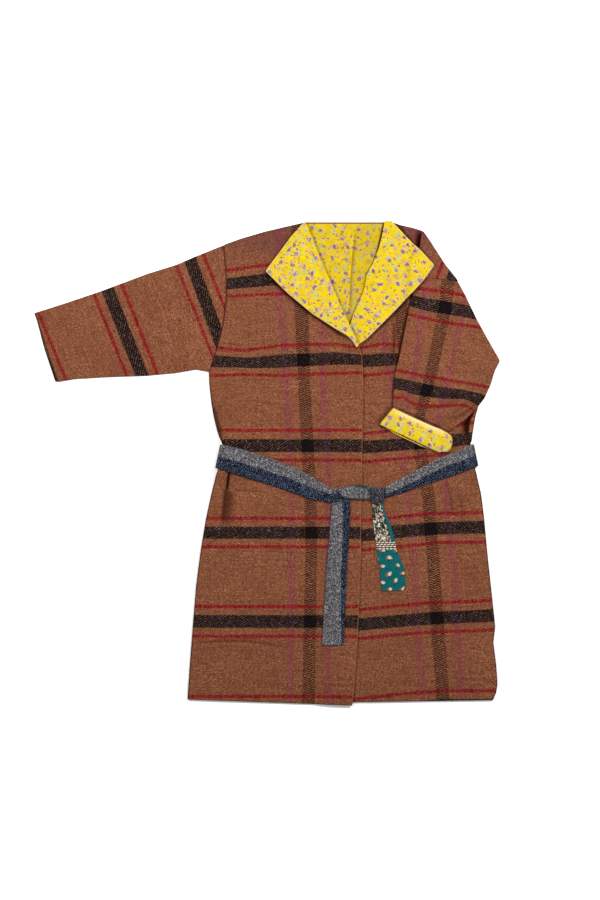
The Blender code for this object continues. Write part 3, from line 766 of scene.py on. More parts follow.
def lay_tube(
    name, sections, cloth_of, look, heights, wall_size, *, held="laid", rests_on=(), pitch=GRID,
    creases=(), folds=(), ripple=0.0, seed=1, beside=(), end_line=None, end_air=SLEEVE_END_AIR,
    mouth=None, mouth_row=0, seam_shade_offset=0.0,
):
    """A flattened tube, open at both ends, with rounded folds at its sides."""
    layout = Layout(sections, pitch)
    x, y = layout.x, layout.y
    ends = 2.0 * wall_size + end_air
    surface = crease_height(creases, x, y) + ripples(x, y, seed, ripple)
    height = tube_height(layout, heights, ends, surface, 2.0 * wall_size + SEAM_GAP)
    base = PILE.rest(x, y, REACH, beside)
    radius = ends / 2.0
    inset = mix(layout.rows[:, :2], layout.rows[:, 2:], radius / layout.width[:, :1])
    outset = mix(layout.rows[:, :2], layout.rows[:, 2:], 1.0 - radius / layout.width[:, :1])
    flat = mix(inset[:, None, :], outset[:, None, :], layout.share[0][None, :, None])
    top = np.concatenate([flat, (base + height)[:, :, None]], axis=2)
    bottom = np.concatenate([flat, base[:, :, None]], axis=2)
    if mouth:
        bottom[:, :, :2] += mouth(layout)[:, :, None] * outward_way(layout, mouth_row)
    across = (layout.rows[:, 2:] - layout.rows[:, :2]) / layout.width[:, :1]
    sizes = (radius, max(radius - wall_size, 0.2))
    rings = [tube_ring(top, bottom, inset, outset, across, size, radius) for size in sizes]
    if end_line:
        near_end = smooth(1.0 - layout.from_last[:, :1] / END_BLEND)
        for grid in rings:
            grid[:, :, 0] += near_end * (end_line(grid[-1, :, 1]) - grid[-1, :, 0])
    PILE.add(name, top)
    outer, inner = rings
    plan = laid_out(outer, x.shape[1], across, radius)
    x, y = plan[:, :, 0], plan[:, :, 1]
    from_first, from_last = (
        np.broadcast_to(run[:, :1], x.shape) for run in (layout.from_first, layout.from_last)
    )
    # The seam's distance, where the wool paints a dark line, partly the seam's own and partly painted shade
    seam = from_first if mouth_row else np.minimum(from_first, from_last)
    attributes = {
        "cloth": cloth_of(x, y),
        "edges": np.stack([seam + seam_shade_offset, np.full_like(from_first, FAR), from_first], axis=2),
        "folds": fold_shade(folds, x, y),
    }
    piece = add_piece(name, wall(outer, inner, ring=True), attributes, look)
    declare(piece, *layout.cut(sides=2), held, rests_on)


def tube_height(layout, heights, ends, surface, least):
    """The height of a flattened tube, from its middle's heights down to its ends' height at its sides."""
    places = np.linspace(0.0, len(heights) - 1.0, len(layout.x))
    middle = np.interp(places, np.arange(len(heights)), heights)[:, None]
    height = ends + np.maximum(middle - ends, 0.0) * smooth(layout.from_side / TUBE_AIR_WIDTH)
    return np.maximum(height + surface * smooth(layout.from_side / TUBE_EDGE), least)


def tube_ring(top, bottom, inset, outset, across, size, radius):
    """All rows of a tube as rings: along its top, round one side, back along its bottom and up the other."""
    inward = np.array([0.0, 0.0, radius - size])
    right = side_fold(outset, across, top[:, -1, 2], bottom[:, -1, 2], size, radius)
    left = side_fold(inset, -across, top[:, 0, 2], bottom[:, 0, 2], size, radius)[:, ::-1]
    return np.concatenate([top - inward, right, (bottom + inward)[:, ::-1], left], axis=1)


def outward_way(layout, row):
    """The direction out of a tube at its first row, 0, or its last, -1."""
    step = layout.rows[0] - layout.rows[1] if row == 0 else layout.rows[-1] - layout.rows[-2]
    way = step[:2] + step[2:]
    return way / np.hypot(*way)


def side_fold(ends, direction, top, bottom, size, radius):
    """The rounded fold at a tube's side, from its top to its bottom."""
    middle = (top + bottom) / 2.0
    half = (top - bottom) / 2.0 * size / radius
    points = []
    for angle in SIDE_ANGLES:
        place = ends + direction * size * math.sin(angle)
        points.append(np.concatenate([place, (middle + half * math.cos(angle))[:, None]], axis=1))
    return np.stack(points, axis=1)


def laid_out(ring, columns, direction, radius):
    """A tube's plan with its side folds opened flat, for threads that run on over them."""
    plan = ring[:, :, :2].copy()
    steps = len(SIDE_ANGLES)
    longer = direction[:, None, :] * (radius * (SIDE_ANGLES - np.sin(SIDE_ANGLES)))[None, :, None]
    plan[:, columns:columns + steps] += longer
    plan[:, -steps:] -= longer[:, ::-1]
    return plan


def side_lines(row, inward, high, low):
    """Rows of points that take a strip round the coat's side: over a rounded corner and on to a height."""
    way = 1.0 if high > low else -1.0
    turn = [
        (inward * CORNER * (1.0 - math.sin(angle)), high - way * CORNER * (1.0 - math.cos(angle)))
        for angle in TURN_ANGLES
    ]
    lines = []
    for shift, level in (*turn, (0.0, low)):
        place = row + np.array([shift, 0.0])
        lines.append(np.concatenate([place, np.full((len(place), 1), level)], axis=1))
    return lines


def lay_stretch(
    name, sections, look, join, rests_on, *, wrap_first=False, wrap_last=False, beside=(), **cut,
):
    """A stretch of the belt, laid on the coat. Its first or last end can turn down round the coat's side."""
    layout = Layout(sections, FINE_GRID, softness=2)
    flat = np.stack([layout.x, layout.y], axis=2)
    base = PILE.rest(layout.x, layout.y, BELT_REACH, beside)
    base = base + above_zero(ripples(layout.x, layout.y, 5, BELT_RIPPLE, *BELT_WAVES) + BELT_LIFT)
    lines = [np.concatenate([row, level[:, None]], axis=1) for row, level in zip(flat, base)]
    middle = SIDE_MIDDLE + SEAM_GAP / 2.0
    if wrap_first:
        lines = side_lines(flat[0], 1.0, float(base[0].max()), middle)[::-1] + lines[2:]
    if wrap_last:
        lines = lines[:-2] + side_lines(flat[-1], -1.0, float(base[-1].max()), middle)
    under = np.stack(lines)
    top = under + normals_of(under) * BELT
    PILE.add(name, top)
    finish_strip(name, top, under, look, join, rests_on, **cut)


def finish_strip(name, top, under, look, join, rests_on, way=1.0, start=0.0, pieced=False):
    """The object of a strip of belt, with coordinates along it and across it from where its cloths join."""
    rows, columns = top.shape[:2]
    run = np.concatenate([[0.0], np.cumsum(np.linalg.norm(np.diff(top[:, columns // 2], axis=0), axis=1))])
    share = np.broadcast_to(np.linspace(0.0, 1.0, columns), (rows, columns))
    width = np.linalg.norm(top[:, -1] - top[:, 0], axis=1)[:, None]
    across = (share - np.interp(run / run[-1], *join)[:, None]) * width * way
    along = np.broadcast_to(run[:, None], across.shape)
    third = share / MM if pieced else np.zeros_like(share)
    attributes = {
        "cloth": np.stack([along + start, across, third], axis=2),
        "edges": np.stack([share * width, (1.0 - share) * width, run[-1] - along], axis=2),
    }
    piece = add_piece(name, wall(top, under, layers=2), attributes, look)
    declare(piece, (float(width.max()), float(run[-1])), float(np.trapz(width[:, 0], run)), "laid", rests_on)


def lay_belt_back(look):
    """The plain stretch of belt on the floor under the coat, turned up at both sides."""
    layout = Layout(BELT_BACK, BACK_GRID)
    flat = np.stack([layout.x, layout.y], axis=2)
    low = SIDE_MIDDLE - SEAM_GAP / 2.0
    lines = side_lines(flat[0], 1.0, BELT, low)[::-1]
    lines += [np.concatenate([row, np.full((len(row), 1), BELT)], axis=1) for row in flat[2:-2]]
    lines += side_lines(flat[-1], -1.0, BELT, low)
    top = np.stack(lines)
    under = top - normals_of(top) * BELT
    PILE.add("belt_back", top)
    finish_strip("belt_back", top, under, look, ((0.0, 1.0), (0.5, 0.5)), ())


def lay_bar(
    name, sections, cloth_of, look, height, *, rests_on=(), pitch=GRID, reach=REACH, beside=(), swell=0.0,
    swell_width=30.0, creases=(), folds=(), ripple=0.0, taper=1.0, deepest=-0.6, layers=2, shades=ALL_EDGES,
):
    """Layers of cloth folded together, as one closed form with a layered edge."""
    layout = Layout(sections, pitch)
    x, y = layout.x, layout.y
    base = PILE.rest(x, y, reach, beside)
    surface = crease_height(creases, x, y) + ripples(x, y, 3, ripple)
    surface = surface * smooth(layout.from_side / BAR_EDGE)
    height = height * smooth(0.3 + layout.from_first / taper)
    height = base + height + swell * smooth(layout.from_side / swell_width) + np.maximum(surface, deepest)
    top = np.stack([x, y, height], axis=2)
    PILE.add(name, top)
    attributes = {
        "cloth": cloth_of(x, y), "edges": shades(layout), "folds": fold_shade(folds, x, y),
    }
    made = wall(top, np.stack([x, y, base], axis=2), layers=layers)
    piece = add_piece(name, made, attributes, look)
    declare(piece, *layout.cut(), "folded", rests_on)


def plaid(across, along, level=True):
    """A cloth's coordinates from the stripes that lie across it and along it.

    The third says how far it has the duller, more purple shade of the shoulders, 0 to 1 in the shader.
    """
    def place(x, y):
        side, down = woven_place(along, x, y, not level), woven_place(across, x, y, level)
        shade = smooth((y - SHADE_SLOPE * np.abs(x - SHADE_MIDDLE) - SHADE_START) / SHADE_WIDTH)
        return np.stack([side, down, shade / MM], axis=2)
    return place


def back_plaid(x, y):
    """The back's plaid: the same stripes across, and a group along it on each side of its middle."""
    down = woven_place(BACK_ACROSS, x, y)
    return np.stack([np.abs(x - BACK_MIDDLE) - BACK_GROUP, down, np.zeros_like(down)], axis=2)


def root_plaid(x, y):
    """Coordinates that keep clear of the stripes along the cloth."""
    return np.stack([150.0 + x * 0.2, 700.0 - y, np.zeros_like(x)], axis=2)


def neck_shade(x, y):
    """How far the lining inside the neck is darkened by painted shade, for the shadow it lies in: more past
    its fold.
    """
    return 0.45 + 0.4 * smooth((x - np.interp(y, *NECK_FOLD)) / 4.0)


def printed(turn, shift=(0.0, 0.0), shade=None):
    """Straight coordinates for the printed lining, turned to the piece's own grain."""
    cosine, sine = math.cos(math.radians(turn)), math.sin(math.radians(turn))

    def place(x, y):
        u = x * cosine + y * sine + shift[0]
        v = -x * sine + y * cosine + shift[1]
        return np.stack([u, v, shade(x, y) / MM if shade else np.zeros_like(u)], axis=2)
    return place


def linear(red, green, blue):
    """A colour from its screen values, 0 to 255, as the shaders take it, for this scene's light."""
    values = []
    for value in (red, green, blue):
        value = value / 255.0
        value = value / 12.92 if value <= 0.04045 else ((value + 0.055) / 1.055) ** 2.4
        values.append(min(1.0, value / LIGHT))
    return (*values, 1.0)


def paint(colour):
    """A colour for a shader: three numbers are screen values, and four are taken as they are."""
    return linear(*colour) if len(colour) == 3 else tuple(colour)


class Value:
    """The output of a shader's node. Its sums, products and comparisons are worked out by further nodes."""

    def __init__(self, shader, socket):
        self.shader = shader
        self.socket = socket

    def apply(self, operation, *others):
        values = dict(enumerate((self, *others)))
        return self.shader.node("ShaderNodeMath", values, operation=operation)[0]

    __add__ = partialmethod(apply, "ADD")
    __sub__ = partialmethod(apply, "SUBTRACT")
    __mul__ = partialmethod(apply, "MULTIPLY")
    __truediv__ = partialmethod(apply, "DIVIDE")
    __mod__ = partialmethod(apply, "FLOORED_MODULO")
    __pow__ = partialmethod(apply, "POWER")
    __gt__ = partialmethod(apply, "GREATER_THAN")
    __lt__ = partialmethod(apply, "LESS_THAN")
    __abs__ = partialmethod(apply, "ABSOLUTE")

    def cell(self, size=1.0):
        return (self / size).apply("FLOOR")

    def span(self, low, high, first=0.0, last=1.0):
        """A smooth step from the first value to the last."""
        values = {0: self, 1: low, 2: high, 3: first, 4: last}
        return self.shader.node("ShaderNodeMapRange", values, interpolation_type="SMOOTHSTEP")[0]

    def fade(self, low, high, first=1.0):
        """A smooth step down from the first value to none."""
        return self.span(low, high, first, 0.0)

    def stripe(self, half, soft):
        """One within half of the middle of a stripe, and none outside it."""
        return abs(self).fade(half - soft, half + soft)

    def tones(self, *stops):
        """A colour through the stops, each a place and then its colour."""
        ramp = self.shader.node("ShaderNodeValToRGB", {0: self})[0]
        elements = ramp.socket.node.color_ramp.elements
        while len(elements) < len(stops):
            elements.new(0.5)
        for element, (place, *colour) in zip(elements, stops):
            element.position = place
            element.color = paint(colour)
        return ramp


class Shader:
    """Builds one procedural material, node by node."""

    def __init__(self, name, roughness, sheen):
        self.material = bpy.data.materials.new(name)
        self.material.use_nodes = True
        self.tree = self.material.node_tree
        self.surface = self.tree.nodes["Principled BSDF"].inputs
        self.surface["Roughness"].default_value = roughness
        self.surface["Sheen Weight"].default_value = sheen
        self.surface["Sheen Roughness"].default_value = 0.5
        self.surface["Specular IOR Level"].default_value = 0.05

    def feed(self, socket, value):
        if isinstance(value, Value):
            self.tree.links.new(value.socket, socket)
        else:
            socket.default_value = paint(value) if isinstance(value, tuple) else value

    def node(self, kind, values, **settings):
        made = self.tree.nodes.new(kind)
        for key, value in settings.items():
            setattr(made, key, value)
        for key, value in values.items():
            self.feed(made.inputs[key], value)
        return [Value(self, socket) for socket in made.outputs]

    def attribute(self, name):
        _, vector, *_ = self.node("ShaderNodeAttribute", {}, attribute_name=name)
        return self.node("ShaderNodeSeparateXYZ", {0: vector})

    def point(self, x, y, z=0.0):
        return self.node("ShaderNodeCombineXYZ", {0: x, 1: y, 2: z})[0]

    def noise(self, vector, scale, detail=2.0, roughness=0.5):
        values = {"Vector": vector, "Scale": scale, "Detail": detail, "Roughness": roughness}
        return self.node("ShaderNodeTexNoise", values)[0]

    def strays(self, u, v, scale, detail, size):
        """Two unlike noises, to lead a pattern astray by up to half a size each way."""
        values = {"Vector": self.point(u, v), "Scale": scale, "Detail": detail}
        _, colour = self.node("ShaderNodeTexNoise", values)
        red, green, _ = self.node("ShaderNodeSeparateColor", {0: colour})
        return (red - 0.5) * size, (green - 0.5) * size

    def random(self, x, y, z=0.0):
        return self.node("ShaderNodeTexWhiteNoise", {"Vector": self.point(x, y, z)})[0]

    def mix(self, share, first, second):
        return self.node("ShaderNodeMix", {0: share, 6: first, 7: second}, data_type="RGBA")[2]

    def painted(self, colour, *coats):
        """The colour under thin coats of others, each given with its share."""
        for share, coat in coats:
            colour = self.mix(share, colour, coat)
        return colour

    def finish(self, colour, height, distance):
        bump = self.node("ShaderNodeBump", {"Strength": 1.0, "Distance": distance, "Height": height})[0]
        self.feed(self.surface["Base Color"], colour)
        self.feed(self.surface["Normal"], bump)
        return self.material


def threads(s, u, v, yarn):
    """The threads of a twill: how light each stretch of the one on top is, and their relief."""
    shift = (s.noise(s.point(u, v), 90.0, 1.0) - 0.5) * 2.0
    warp, weft = u / yarn + shift, v / yarn + shift
    warp_step, weft_step = warp.cell(), weft.cell()
    phase = (warp_step + weft_step) % 4.0
    warp_up = phase < 1.5
    long_warp = s.random(warp_step, (weft + phase).cell(2.0))
    long_weft = s.random(warp.cell(2.0), weft_step, 7.0)
    round_warp, round_weft = (abs((thread * math.pi).apply("SINE")) for thread in (warp, weft))
    return mix(long_weft, long_warp, warp_up), mix(round_weft, round_warp, warp_up)


def dashes(u, v):
    """The place in the twill's slanting lines, 0 to 1."""
    return (v / DASH_RISE + u / DASH_RUN).apply("FRACT")


def fold_shades(s, shadow, lit):
    """The painted coats of soft shade and of highlight along one side of the piece's fold and edge lines."""
    side, strength, width = s.attribute("folds")
    place = side / width.apply("MAXIMUM", 0.001)
    share = place.span(-0.1, 0.1) * place.fade(0.2, 1.0) * strength
    return (share, shadow), (share * -1.0, lit)


def heather(s, u, v, shade, light, end):
    """The wool's brown ground, with darker picks, slubs and clouds and a few odd-coloured threads."""
    pick = s.random(v.cell(0.0021), u.cell(0.03))
    slub = s.noise(s.point(u * 0.4, v), 520.0, 3.0, 0.6)
    cloud = s.noise(s.point(u, v), 14.0, 3.0)
    tint = s.noise(s.point(u, v, 4.0), 340.0)
    yarn = light.tones(
        (0.0, 66, 32, 8), (0.3, 126, 70, 45), (0.75, 166, 102, 70), (0.94, 190, 126, 93),
        (1.0, 216, 160, 124),
    )
    return s.painted(
        yarn,
        (pick.span(0.5, 1.0, 0.0, 0.42), (92, 48, 26)),
        (end.span(0.6, 1.0, 0.0, 0.3), (168, 104, 66)),
        (slub.span(0.55, 0.75, 0.0, 0.45), (92, 50, 32)),
        (cloud.span(0.3, 0.7, 0.0, 0.3), (122, 66, 46)),
        (tint.span(0.5, 0.66, 0.0, 0.35), (144, 102, 58)),
        (tint.fade(0.34, 0.5, 0.35), (160, 90, 80)),
        (shade * 0.55, (100, 56, 56)),
    )


def speckled_black(s, u, v, dash, lone, light, in_band, purple):
    """The black of the wide bands, with specks of several colours on its slanting lines."""
    speck = dash.span(0.46, 0.66) * lone.span(0.1, 0.4, 0.2, 1.0)
    speck = speck.apply("MAXIMUM", lone.span(0.85, 0.9, 0.0, 0.5))
    speck = speck * light.span(0.2, 0.45) * in_band.span(0.0, 1.0, 1.0, 0.12)
    speck_tone = s.random(u.cell(0.0020), v.cell(0.0020), 5.0).tones(
        (0.0, 96, 48, 30), (0.3, 84, 66, 34), (0.5, 92, 60, 78), (0.7, 122, 92, 76), (0.95, 120, 112, 116),
        (1.0, 166, 154, 146),
    )
    return s.painted(
        light.tones((0.0, 4, 0, 0), (1.0, 36, 20, 16)),
        (in_band * 0.85, (3, 3, 6)),
        (purple * 0.65, (58, 20, 54)),
        (speck * 0.82, speck_tone),
    )


def wool_material():
    """Brown heather wool with a woven plaid."""
    s = Shader("wool_plaid", 0.95, 0.02)
    u, v, shade = s.attribute("cloth")
    edge_and_seam_shade, pale_edge, hem = s.attribute("edges")
    jitter = (s.noise(s.point(u, v), 300.0) - 0.5) * 0.003
    dash = dashes(u, v)
    zigzag = dashes(u.apply("PINGPONG", DASH_RUN), v)
    across = v.apply("WRAP", REPEAT / 2.0, -REPEAT / 2.0) + jitter
    along = u + jitter * 0.6
    light, relief = threads(s, u, v, YARN)
    end = s.random(u.cell(0.0024), v.cell(0.05), 3.0)
    lone = s.random(u.cell(0.0025), v.cell(0.0022), 9.0)
    fuzz = s.noise(s.point(u, v), 1500.0, 3.0, 0.65)

    in_band = along.stripe(TWILL_HALF, 0.0008)
    drawn = in_band * zigzag.span(0.4, 0.56) * lone.span(0.05, 0.25, 0.5, 1.0)
    drawn = drawn.apply("MAXIMUM", in_band * lone.span(0.8, 0.9, 0.0, 0.4))
    patchy = s.noise(s.point(u, v * 0.5, 3.0), 150.0).span(0.36, 0.62, 0.35, 1.0)
    purple = (abs(along) - PURPLE_PLACE).stripe(PURPLE_HALF, 0.0050) * dash.span(0.3, 0.7, 0.4, 0.9)
    purple = purple * light.span(0.1, 0.5, 0.4, 1.0) * patchy
    red = (abs(across) - RED_PLACE).stripe(RED_HALF, 0.0013)
    red = red * dash.span(0.0, 0.4, 0.8, 1.0) * end.span(0.5, 1.0, 1.0, 0.75)
    black = (across + (dash - 0.5) * 0.0016).stripe(BLACK_HALF, 0.0006)

    dark_tone = light.tones((0.0, 12, 6, 6), (0.8, 38, 22, 18), (1.0, 76, 52, 42))
    red_tone = s.painted(
        light.tones((0.0, 80, 4, 14), (0.6, 144, 16, 26), (1.0, 190, 60, 58)),
        (in_band * 0.4, (92, 6, 22)),
        (purple * 0.6, (152, 14, 62)),
    )
    colour = s.painted(
        heather(s, u, v, shade, light, end),
        (drawn * 0.96, dark_tone),
        (purple * 0.72, (144, 40, 90)),
        (red, red_tone),
        (black, speckled_black(s, u, v, dash, lone, light, in_band, purple)),
        # Painted shade in the gaps between the threads
        (relief.fade(0.0, 0.7, 0.45), (34, 16, 8)),
        (fuzz.span(0.62, 0.8, 0.0, 0.14), (196, 148, 112)),
        # Painted shade along the outer edges, where the cloth turns under, and a dark seam line, partly the
        # seam's own and partly painted shade
        (edge_and_seam_shade.fade(0.0006, 0.0026, 0.7), (40, 16, 8)),
        *fold_shades(s, (44, 10, 0), (176, 122, 86)),
        # Painted shade along the hem, where the cloth turns under
        (hem.fade(0.0003, 0.0016, 0.5), (52, 28, 20)),
        (pale_edge.fade(0.0003, 0.0016, 0.5), (168, 112, 78)),
    )
    return s.finish(colour, relief * 0.5 + fuzz * 0.9 + dash.span(0.3, 0.6) * 0.5, 0.0004)


def scattered(s, u, v, size, shift):
    """A loose scatter of motifs: each point's place from its own motif's middle, and the motif's numbers."""
    place = s.point(u / size + shift, v / size)
    settings = {"Vector": place, "Scale": 1.0, "Randomness": 0.8}
    distance, colour, middle, *_ = s.node("ShaderNodeTexVoronoi", settings, voronoi_dimensions="2D")
    offset = s.node("ShaderNodeVectorMath", {0: place, 1: middle}, operation="SUBTRACT")[0]
    dx, dy, _ = s.node("ShaderNodeSeparateXYZ", {0: offset})
    return dx, dy, distance * size, s.node("ShaderNodeSeparateColor", {0: colour})


def petalled(s, u, v, motif):
    """A scatter of one motif, with each point's distance from its middle as a share of its petals' reach."""
    dx, dy, distance, (kind, turn, amount) = scattered(s, u, v, motif.cell, motif.shift)
    angle = dy.apply("ARCTAN2", dx) * motif.petals + turn * FULL_TURN
    reach = (angle.apply("COSINE") * motif.swell + (1.0 - motif.swell)) * motif.radius
    return dx, dy, distance / reach, kind, amount


def dark_flowers(s, colour, u, v):
    """Purple flowers with a dark eye set to one side and a lilac rim."""
    dx, dy, share, kind, amount = petalled(s, u, v, DARK_FLOWERS)
    flecks = s.noise(s.point(u, v, 6.0), 520.0, 1.0)
    petals = (share + (dx + dy * 0.6) * 2.6).tones(
        (0.1, 82, 44, 106), (0.45, 112, 68, 136), (0.7, 152, 110, 150), (0.9, 208, 168, 158),
        (1.0, 228, 194, 104),
    )
    petals = s.painted(
        petals,
        (amount.span(0.4, 0.7, 0.0, 0.45), (186, 150, 158)),
        (flecks.span(0.54, 0.6, 0.0, 0.5), (232, 206, 190)),
        (flecks.fade(0.36, 0.42, 0.7), (94, 54, 116)),
    )
    worn = s.noise(s.point(u, v), 480.0, 1.0).span(0.32, 0.44, 0.3, 0.95)
    return s.mix(share.fade(0.8, 1.15) * (kind > 0.25) * worn, colour, petals)


def pale_flowers(s, colour, u, v):
    """Flowers in grey green, white and lilac, with broken outlines."""
    _, _, share, kind, amount = petalled(s, u, v, PALE_FLOWERS)
    flecks = s.noise(s.point(u, v), 520.0, 1.0)
    green = flecks.tones((0.38, 94, 142, 132), (0.5, 168, 192, 140), (0.62, 224, 226, 180))
    lilac = flecks.tones((0.36, 122, 80, 124), (0.5, 196, 152, 148), (0.62, 232, 194, 138))
    inside = share.fade(0.85, 1.15) * (amount > 0.42) * flecks.span(0.3, 0.44, 0.4, 0.8)
    return s.mix(inside, colour, s.mix(kind > 0.55, green, lilac))


def buds(s, colour, u, v):
    """Small dark buds, each in a pale halo."""
    _, _, share, kind, _ = petalled(s, u, v, BUDS)
    tone = share.tones((0.25, 104, 58, 76), (0.5, 164, 112, 116), (0.75, 232, 192, 140))
    return s.mix(share.fade(0.8, 1.1) * (kind > 0.35), colour, tone)


def dabs(s, colour, u, v, motif):
    """Buds, petals and leaves between the flowers."""
    _, _, share, kind, amount = petalled(s, u, v, motif)
    inside = (share / (amount * 0.85 + 0.3)).fade(0.8, 1.2)
    tone = kind.tones(
        (0.0, 112, 62, 92), (0.18, 134, 82, 118), (0.3, 174, 110, 122), (0.5, 216, 158, 128),
        (0.66, 228, 180, 96), (0.8, 200, 196, 92), (1.0, 174, 190, 130),
    )
    return s.mix(inside * 0.72, colour, tone)


def floral_material():
    """Yellow cotton printed all over with small flowers, buds and leaves."""
    s = Shader("floral_lining", 0.75, 0.03)
    u, v, shade = s.attribute("cloth")
    side, _, last = s.attribute("edges")
    aside, ahead = s.strays(u, v, 170.0, 1.0, 0.007)
    x, y = u + aside, v + ahead
    colour = s.noise(s.point(u, v), 60.0).tones((0.3, 224, 190, 0), (0.7, 240, 212, 6))
    for motif in (SMALL_DABS, LARGE_DABS):
        colour = dabs(s, colour, x, y, motif)
    for print_on in (buds, pale_flowers, dark_flowers):
        colour = print_on(s, colour, x, y)
    colour = s.painted(
        colour,
        # Painted shade on the lining deep inside the neck
        (shade * 0.34, (150, 112, 0)),
        *fold_shades(s, (104, 60, 0), (250, 226, 150)),
        (side.fade(0.0004, 0.0020, 0.7), (230, 192, 134)),
        (last.fade(0.0004, 0.0024, 0.7), (230, 192, 134)),
    )
    _, relief = threads(s, u, v, PRINT_YARN)
    return s.finish(colour, relief, 0.00006)


def tweed_material():
    """The belt: grey heather and navy twill, joined along its length."""
    s = Shader("belt_tweed", 0.95, 0.05)
    u, v, trim = s.attribute("cloth")
    side, _, _ = s.attribute("edges")
    light, relief = threads(s, u, v, YARN)
    dash = dashes(v, u)
    fuzz = s.noise(s.point(u, v), 1500.0, 3.0, 0.65)
    grey = light.tones((0.0, 34, 34, 38), (0.3, 78, 75, 78), (0.75, 114, 111, 114), (1.0, 196, 194, 194))
    navy = light.tones((0.0, 0, 0, 4), (0.5, 4, 6, 24), (0.85, 24, 32, 68), (1.0, 140, 156, 180))
    navy = s.painted(
        navy,
        (dash.span(0.5, 0.62) * light.span(0.3, 0.7) * 0.8, (92, 104, 128)),
        (dash.fade(0.15, 0.35, 0.7), (2, 2, 8)),
    )
    colour = s.painted(
        s.mix(v.span(-0.0006, 0.0006), navy, grey),
        # Painted shade in the gaps between the threads
        (relief.fade(0.0, 0.7, 0.4), (12, 12, 20)),
        (fuzz.span(0.6, 0.8, 0.0, 0.25), (150, 148, 152)),
        (side.fade(0.0004, 0.0018, 0.5), (14, 14, 26)),
        (trim * 0.9, (0, 62, 60)),
    )
    return s.finish(colour, relief * 0.6 + fuzz * 0.8, 0.0004)


def figured_cloth(s, u, v):
    """Tiny leaves in green and cream, paler towards the tail's end, with a few red and teal ones."""
    ahead, aside = s.strays(u, v, 190.0, 1.0, 0.005)
    _, _, _, (leaf, bloom, _) = scattered(s, (u + ahead) * 0.8, v + aside, 0.0023, 1.7)
    tones = (leaf + (u - 0.100) * 4.0).tones(
        (0.16, 6, 10, 10), (0.34, 36, 54, 44), (0.52, 112, 112, 96), (0.7, 184, 174, 152),
        (0.9, 228, 216, 194),
    )
    return s.painted(tones, (bloom > 0.89, (196, 128, 124)), (bloom < 0.14, (0, 84, 72)))


def stitched_cloth(s, u, v):
    """Rows of pale slanting stitches on near black."""
    row = (u - FIRST_ROW) % STITCH_ROW
    stitch = ((v + u * 0.9) % STITCH > STITCH_SPACE) * (row - 0.0022).stripe(0.0013, 0.0003)
    return s.mix(stitch, (26, 24, 22), (226, 212, 186))


def away(x, y):
    return (x ** 2.0 + y ** 2.0).apply("SQRT")


def budded_cloth(s, u, v, teal):
    """Pale buds, each with an ochre side and a dark stem, in two sets of rows on teal."""
    aside, ahead = s.strays(u, v, 45.0, 0.0, 0.012)
    across = (v + aside + u * 0.13) / BUD_ACROSS
    down = (u + ahead) / BUD_DOWN
    ragged = (s.noise(s.point(u, v), 600.0, 1.0) - 0.5) * 0.003
    petal = s.noise(s.point(u, v, 2.0), 420.0, 1.0)
    petal = petal.tones((0.35, 190, 158, 120), (0.5, 226, 206, 178), (0.62, 232, 196, 206))
    colour = teal
    for shift in (0.0, 0.5):
        x = (across + shift).apply("WRAP", 0.5, -0.5) * BUD_ACROSS
        y = (down + shift).apply("WRAP", 0.5, -0.5) * BUD_DOWN
        stem = abs(x + y * 0.35) + abs(y - 0.0062) * 0.5
        colour = s.painted(
            colour,
            (stem.fade(0.0018, 0.0026, 0.85), (50, 34, 44)),
            (away(x + 0.0030, y - 0.001).fade(0.0034, 0.0046, 0.95), (150, 92, 40)),
            ((away(x, y) + ragged).fade(0.0030, 0.0044), petal),
        )
    return colour


def patch_material():
    """The pieced belt tail: dark tweed, a figured strip beside teal, stitched rows, then teal with buds."""
    s = Shader("belt_patch", 0.8, 0.1)
    u, v, share = s.attribute("cloth")
    light, relief = threads(s, u, v, PATCH_YARN)
    tweed = light.tones((0.0, 4, 4, 8), (0.45, 26, 26, 34), (0.8, 64, 62, 72), (1.0, 150, 148, 156))
    teal = light.tones((0.0, 0, 76, 80), (1.0, 4, 114, 116))
    ragged = s.noise(s.point(u, v), 260.0, 1.0) * 0.2
    right_part = share + ragged > u * -1.4 + 1.06
    colour = s.painted(
        tweed,
        (u.span(0.030, 0.038), s.mix(right_part, figured_cloth(s, u, v), teal)),
        (u > STITCHED_START, stitched_cloth(s, u, v)),
        (u > BUDDED_START, budded_cloth(s, u, v, teal)),
    )
    return s.finish(colour, relief, 0.0001)


def inside_material():
    """The plain turned lining inside the sleeves, in the print's own yellow."""
    s = Shader("lining_inside", 0.8, 0.05)
    u, v, _ = s.attribute("cloth")
    colour = s.noise(s.point(u, v), 300.0).tones((0.3, 206, 176, 20), (0.7, 236, 208, 40))
    return s.finish(colour, s.noise(s.point(u, v), 1200.0), 0.00008)


def floor_material():
    """A plain pale floor with a faint unevenness."""
    s = Shader("studio_floor", 0.9, 0.0)
    _, _, _, place, *_ = s.node("ShaderNodeTexCoord", {})
    colour = s.noise(place, 3.0).tones((0.0, 0.96, 0.96, 0.96, 1.0), (1.0, 0.98, 0.98, 0.98, 1.0))
    return s.finish(colour, s.noise(place, 400.0), 0.00002)


def lay_body(wool, lining):
    """The back, its lining at the neck, and the front that lies under the other."""
    lay_panel("back", body_sections(BACK_ROWS), back_plaid, wool, rests_on=("belt_back",), pitch=BACK_GRID)
    lay_panel(
        "back_lining", body_sections(NECK_LINING_ROWS), printed(2.0, shade=neck_shade), lining,
        rests_on=("back",), pitch=FINE_GRID, thickness=LINING, ripple=0.5, seed=11,
        creases=NECK_LINING_CREASES, folds=NECK_LINING_FOLDS, shades=edges(),
    )
    lay_panel(
        "front_left", body_sections(FRONT_LEFT_ROWS, FRONT_LEFT_HEM),
        plaid(FRONT_LEFT_ACROSS, FRONT_LEFT_ALONG), wool, rests_on=("back",), air=PANEL_AIR,
        ripple=0.8, seed=4, creases=FRONT_LEFT_CREASES, folds=FRONT_LEFT_FOLDS,
        shades=edges("from_right", last="from_last"),
    )


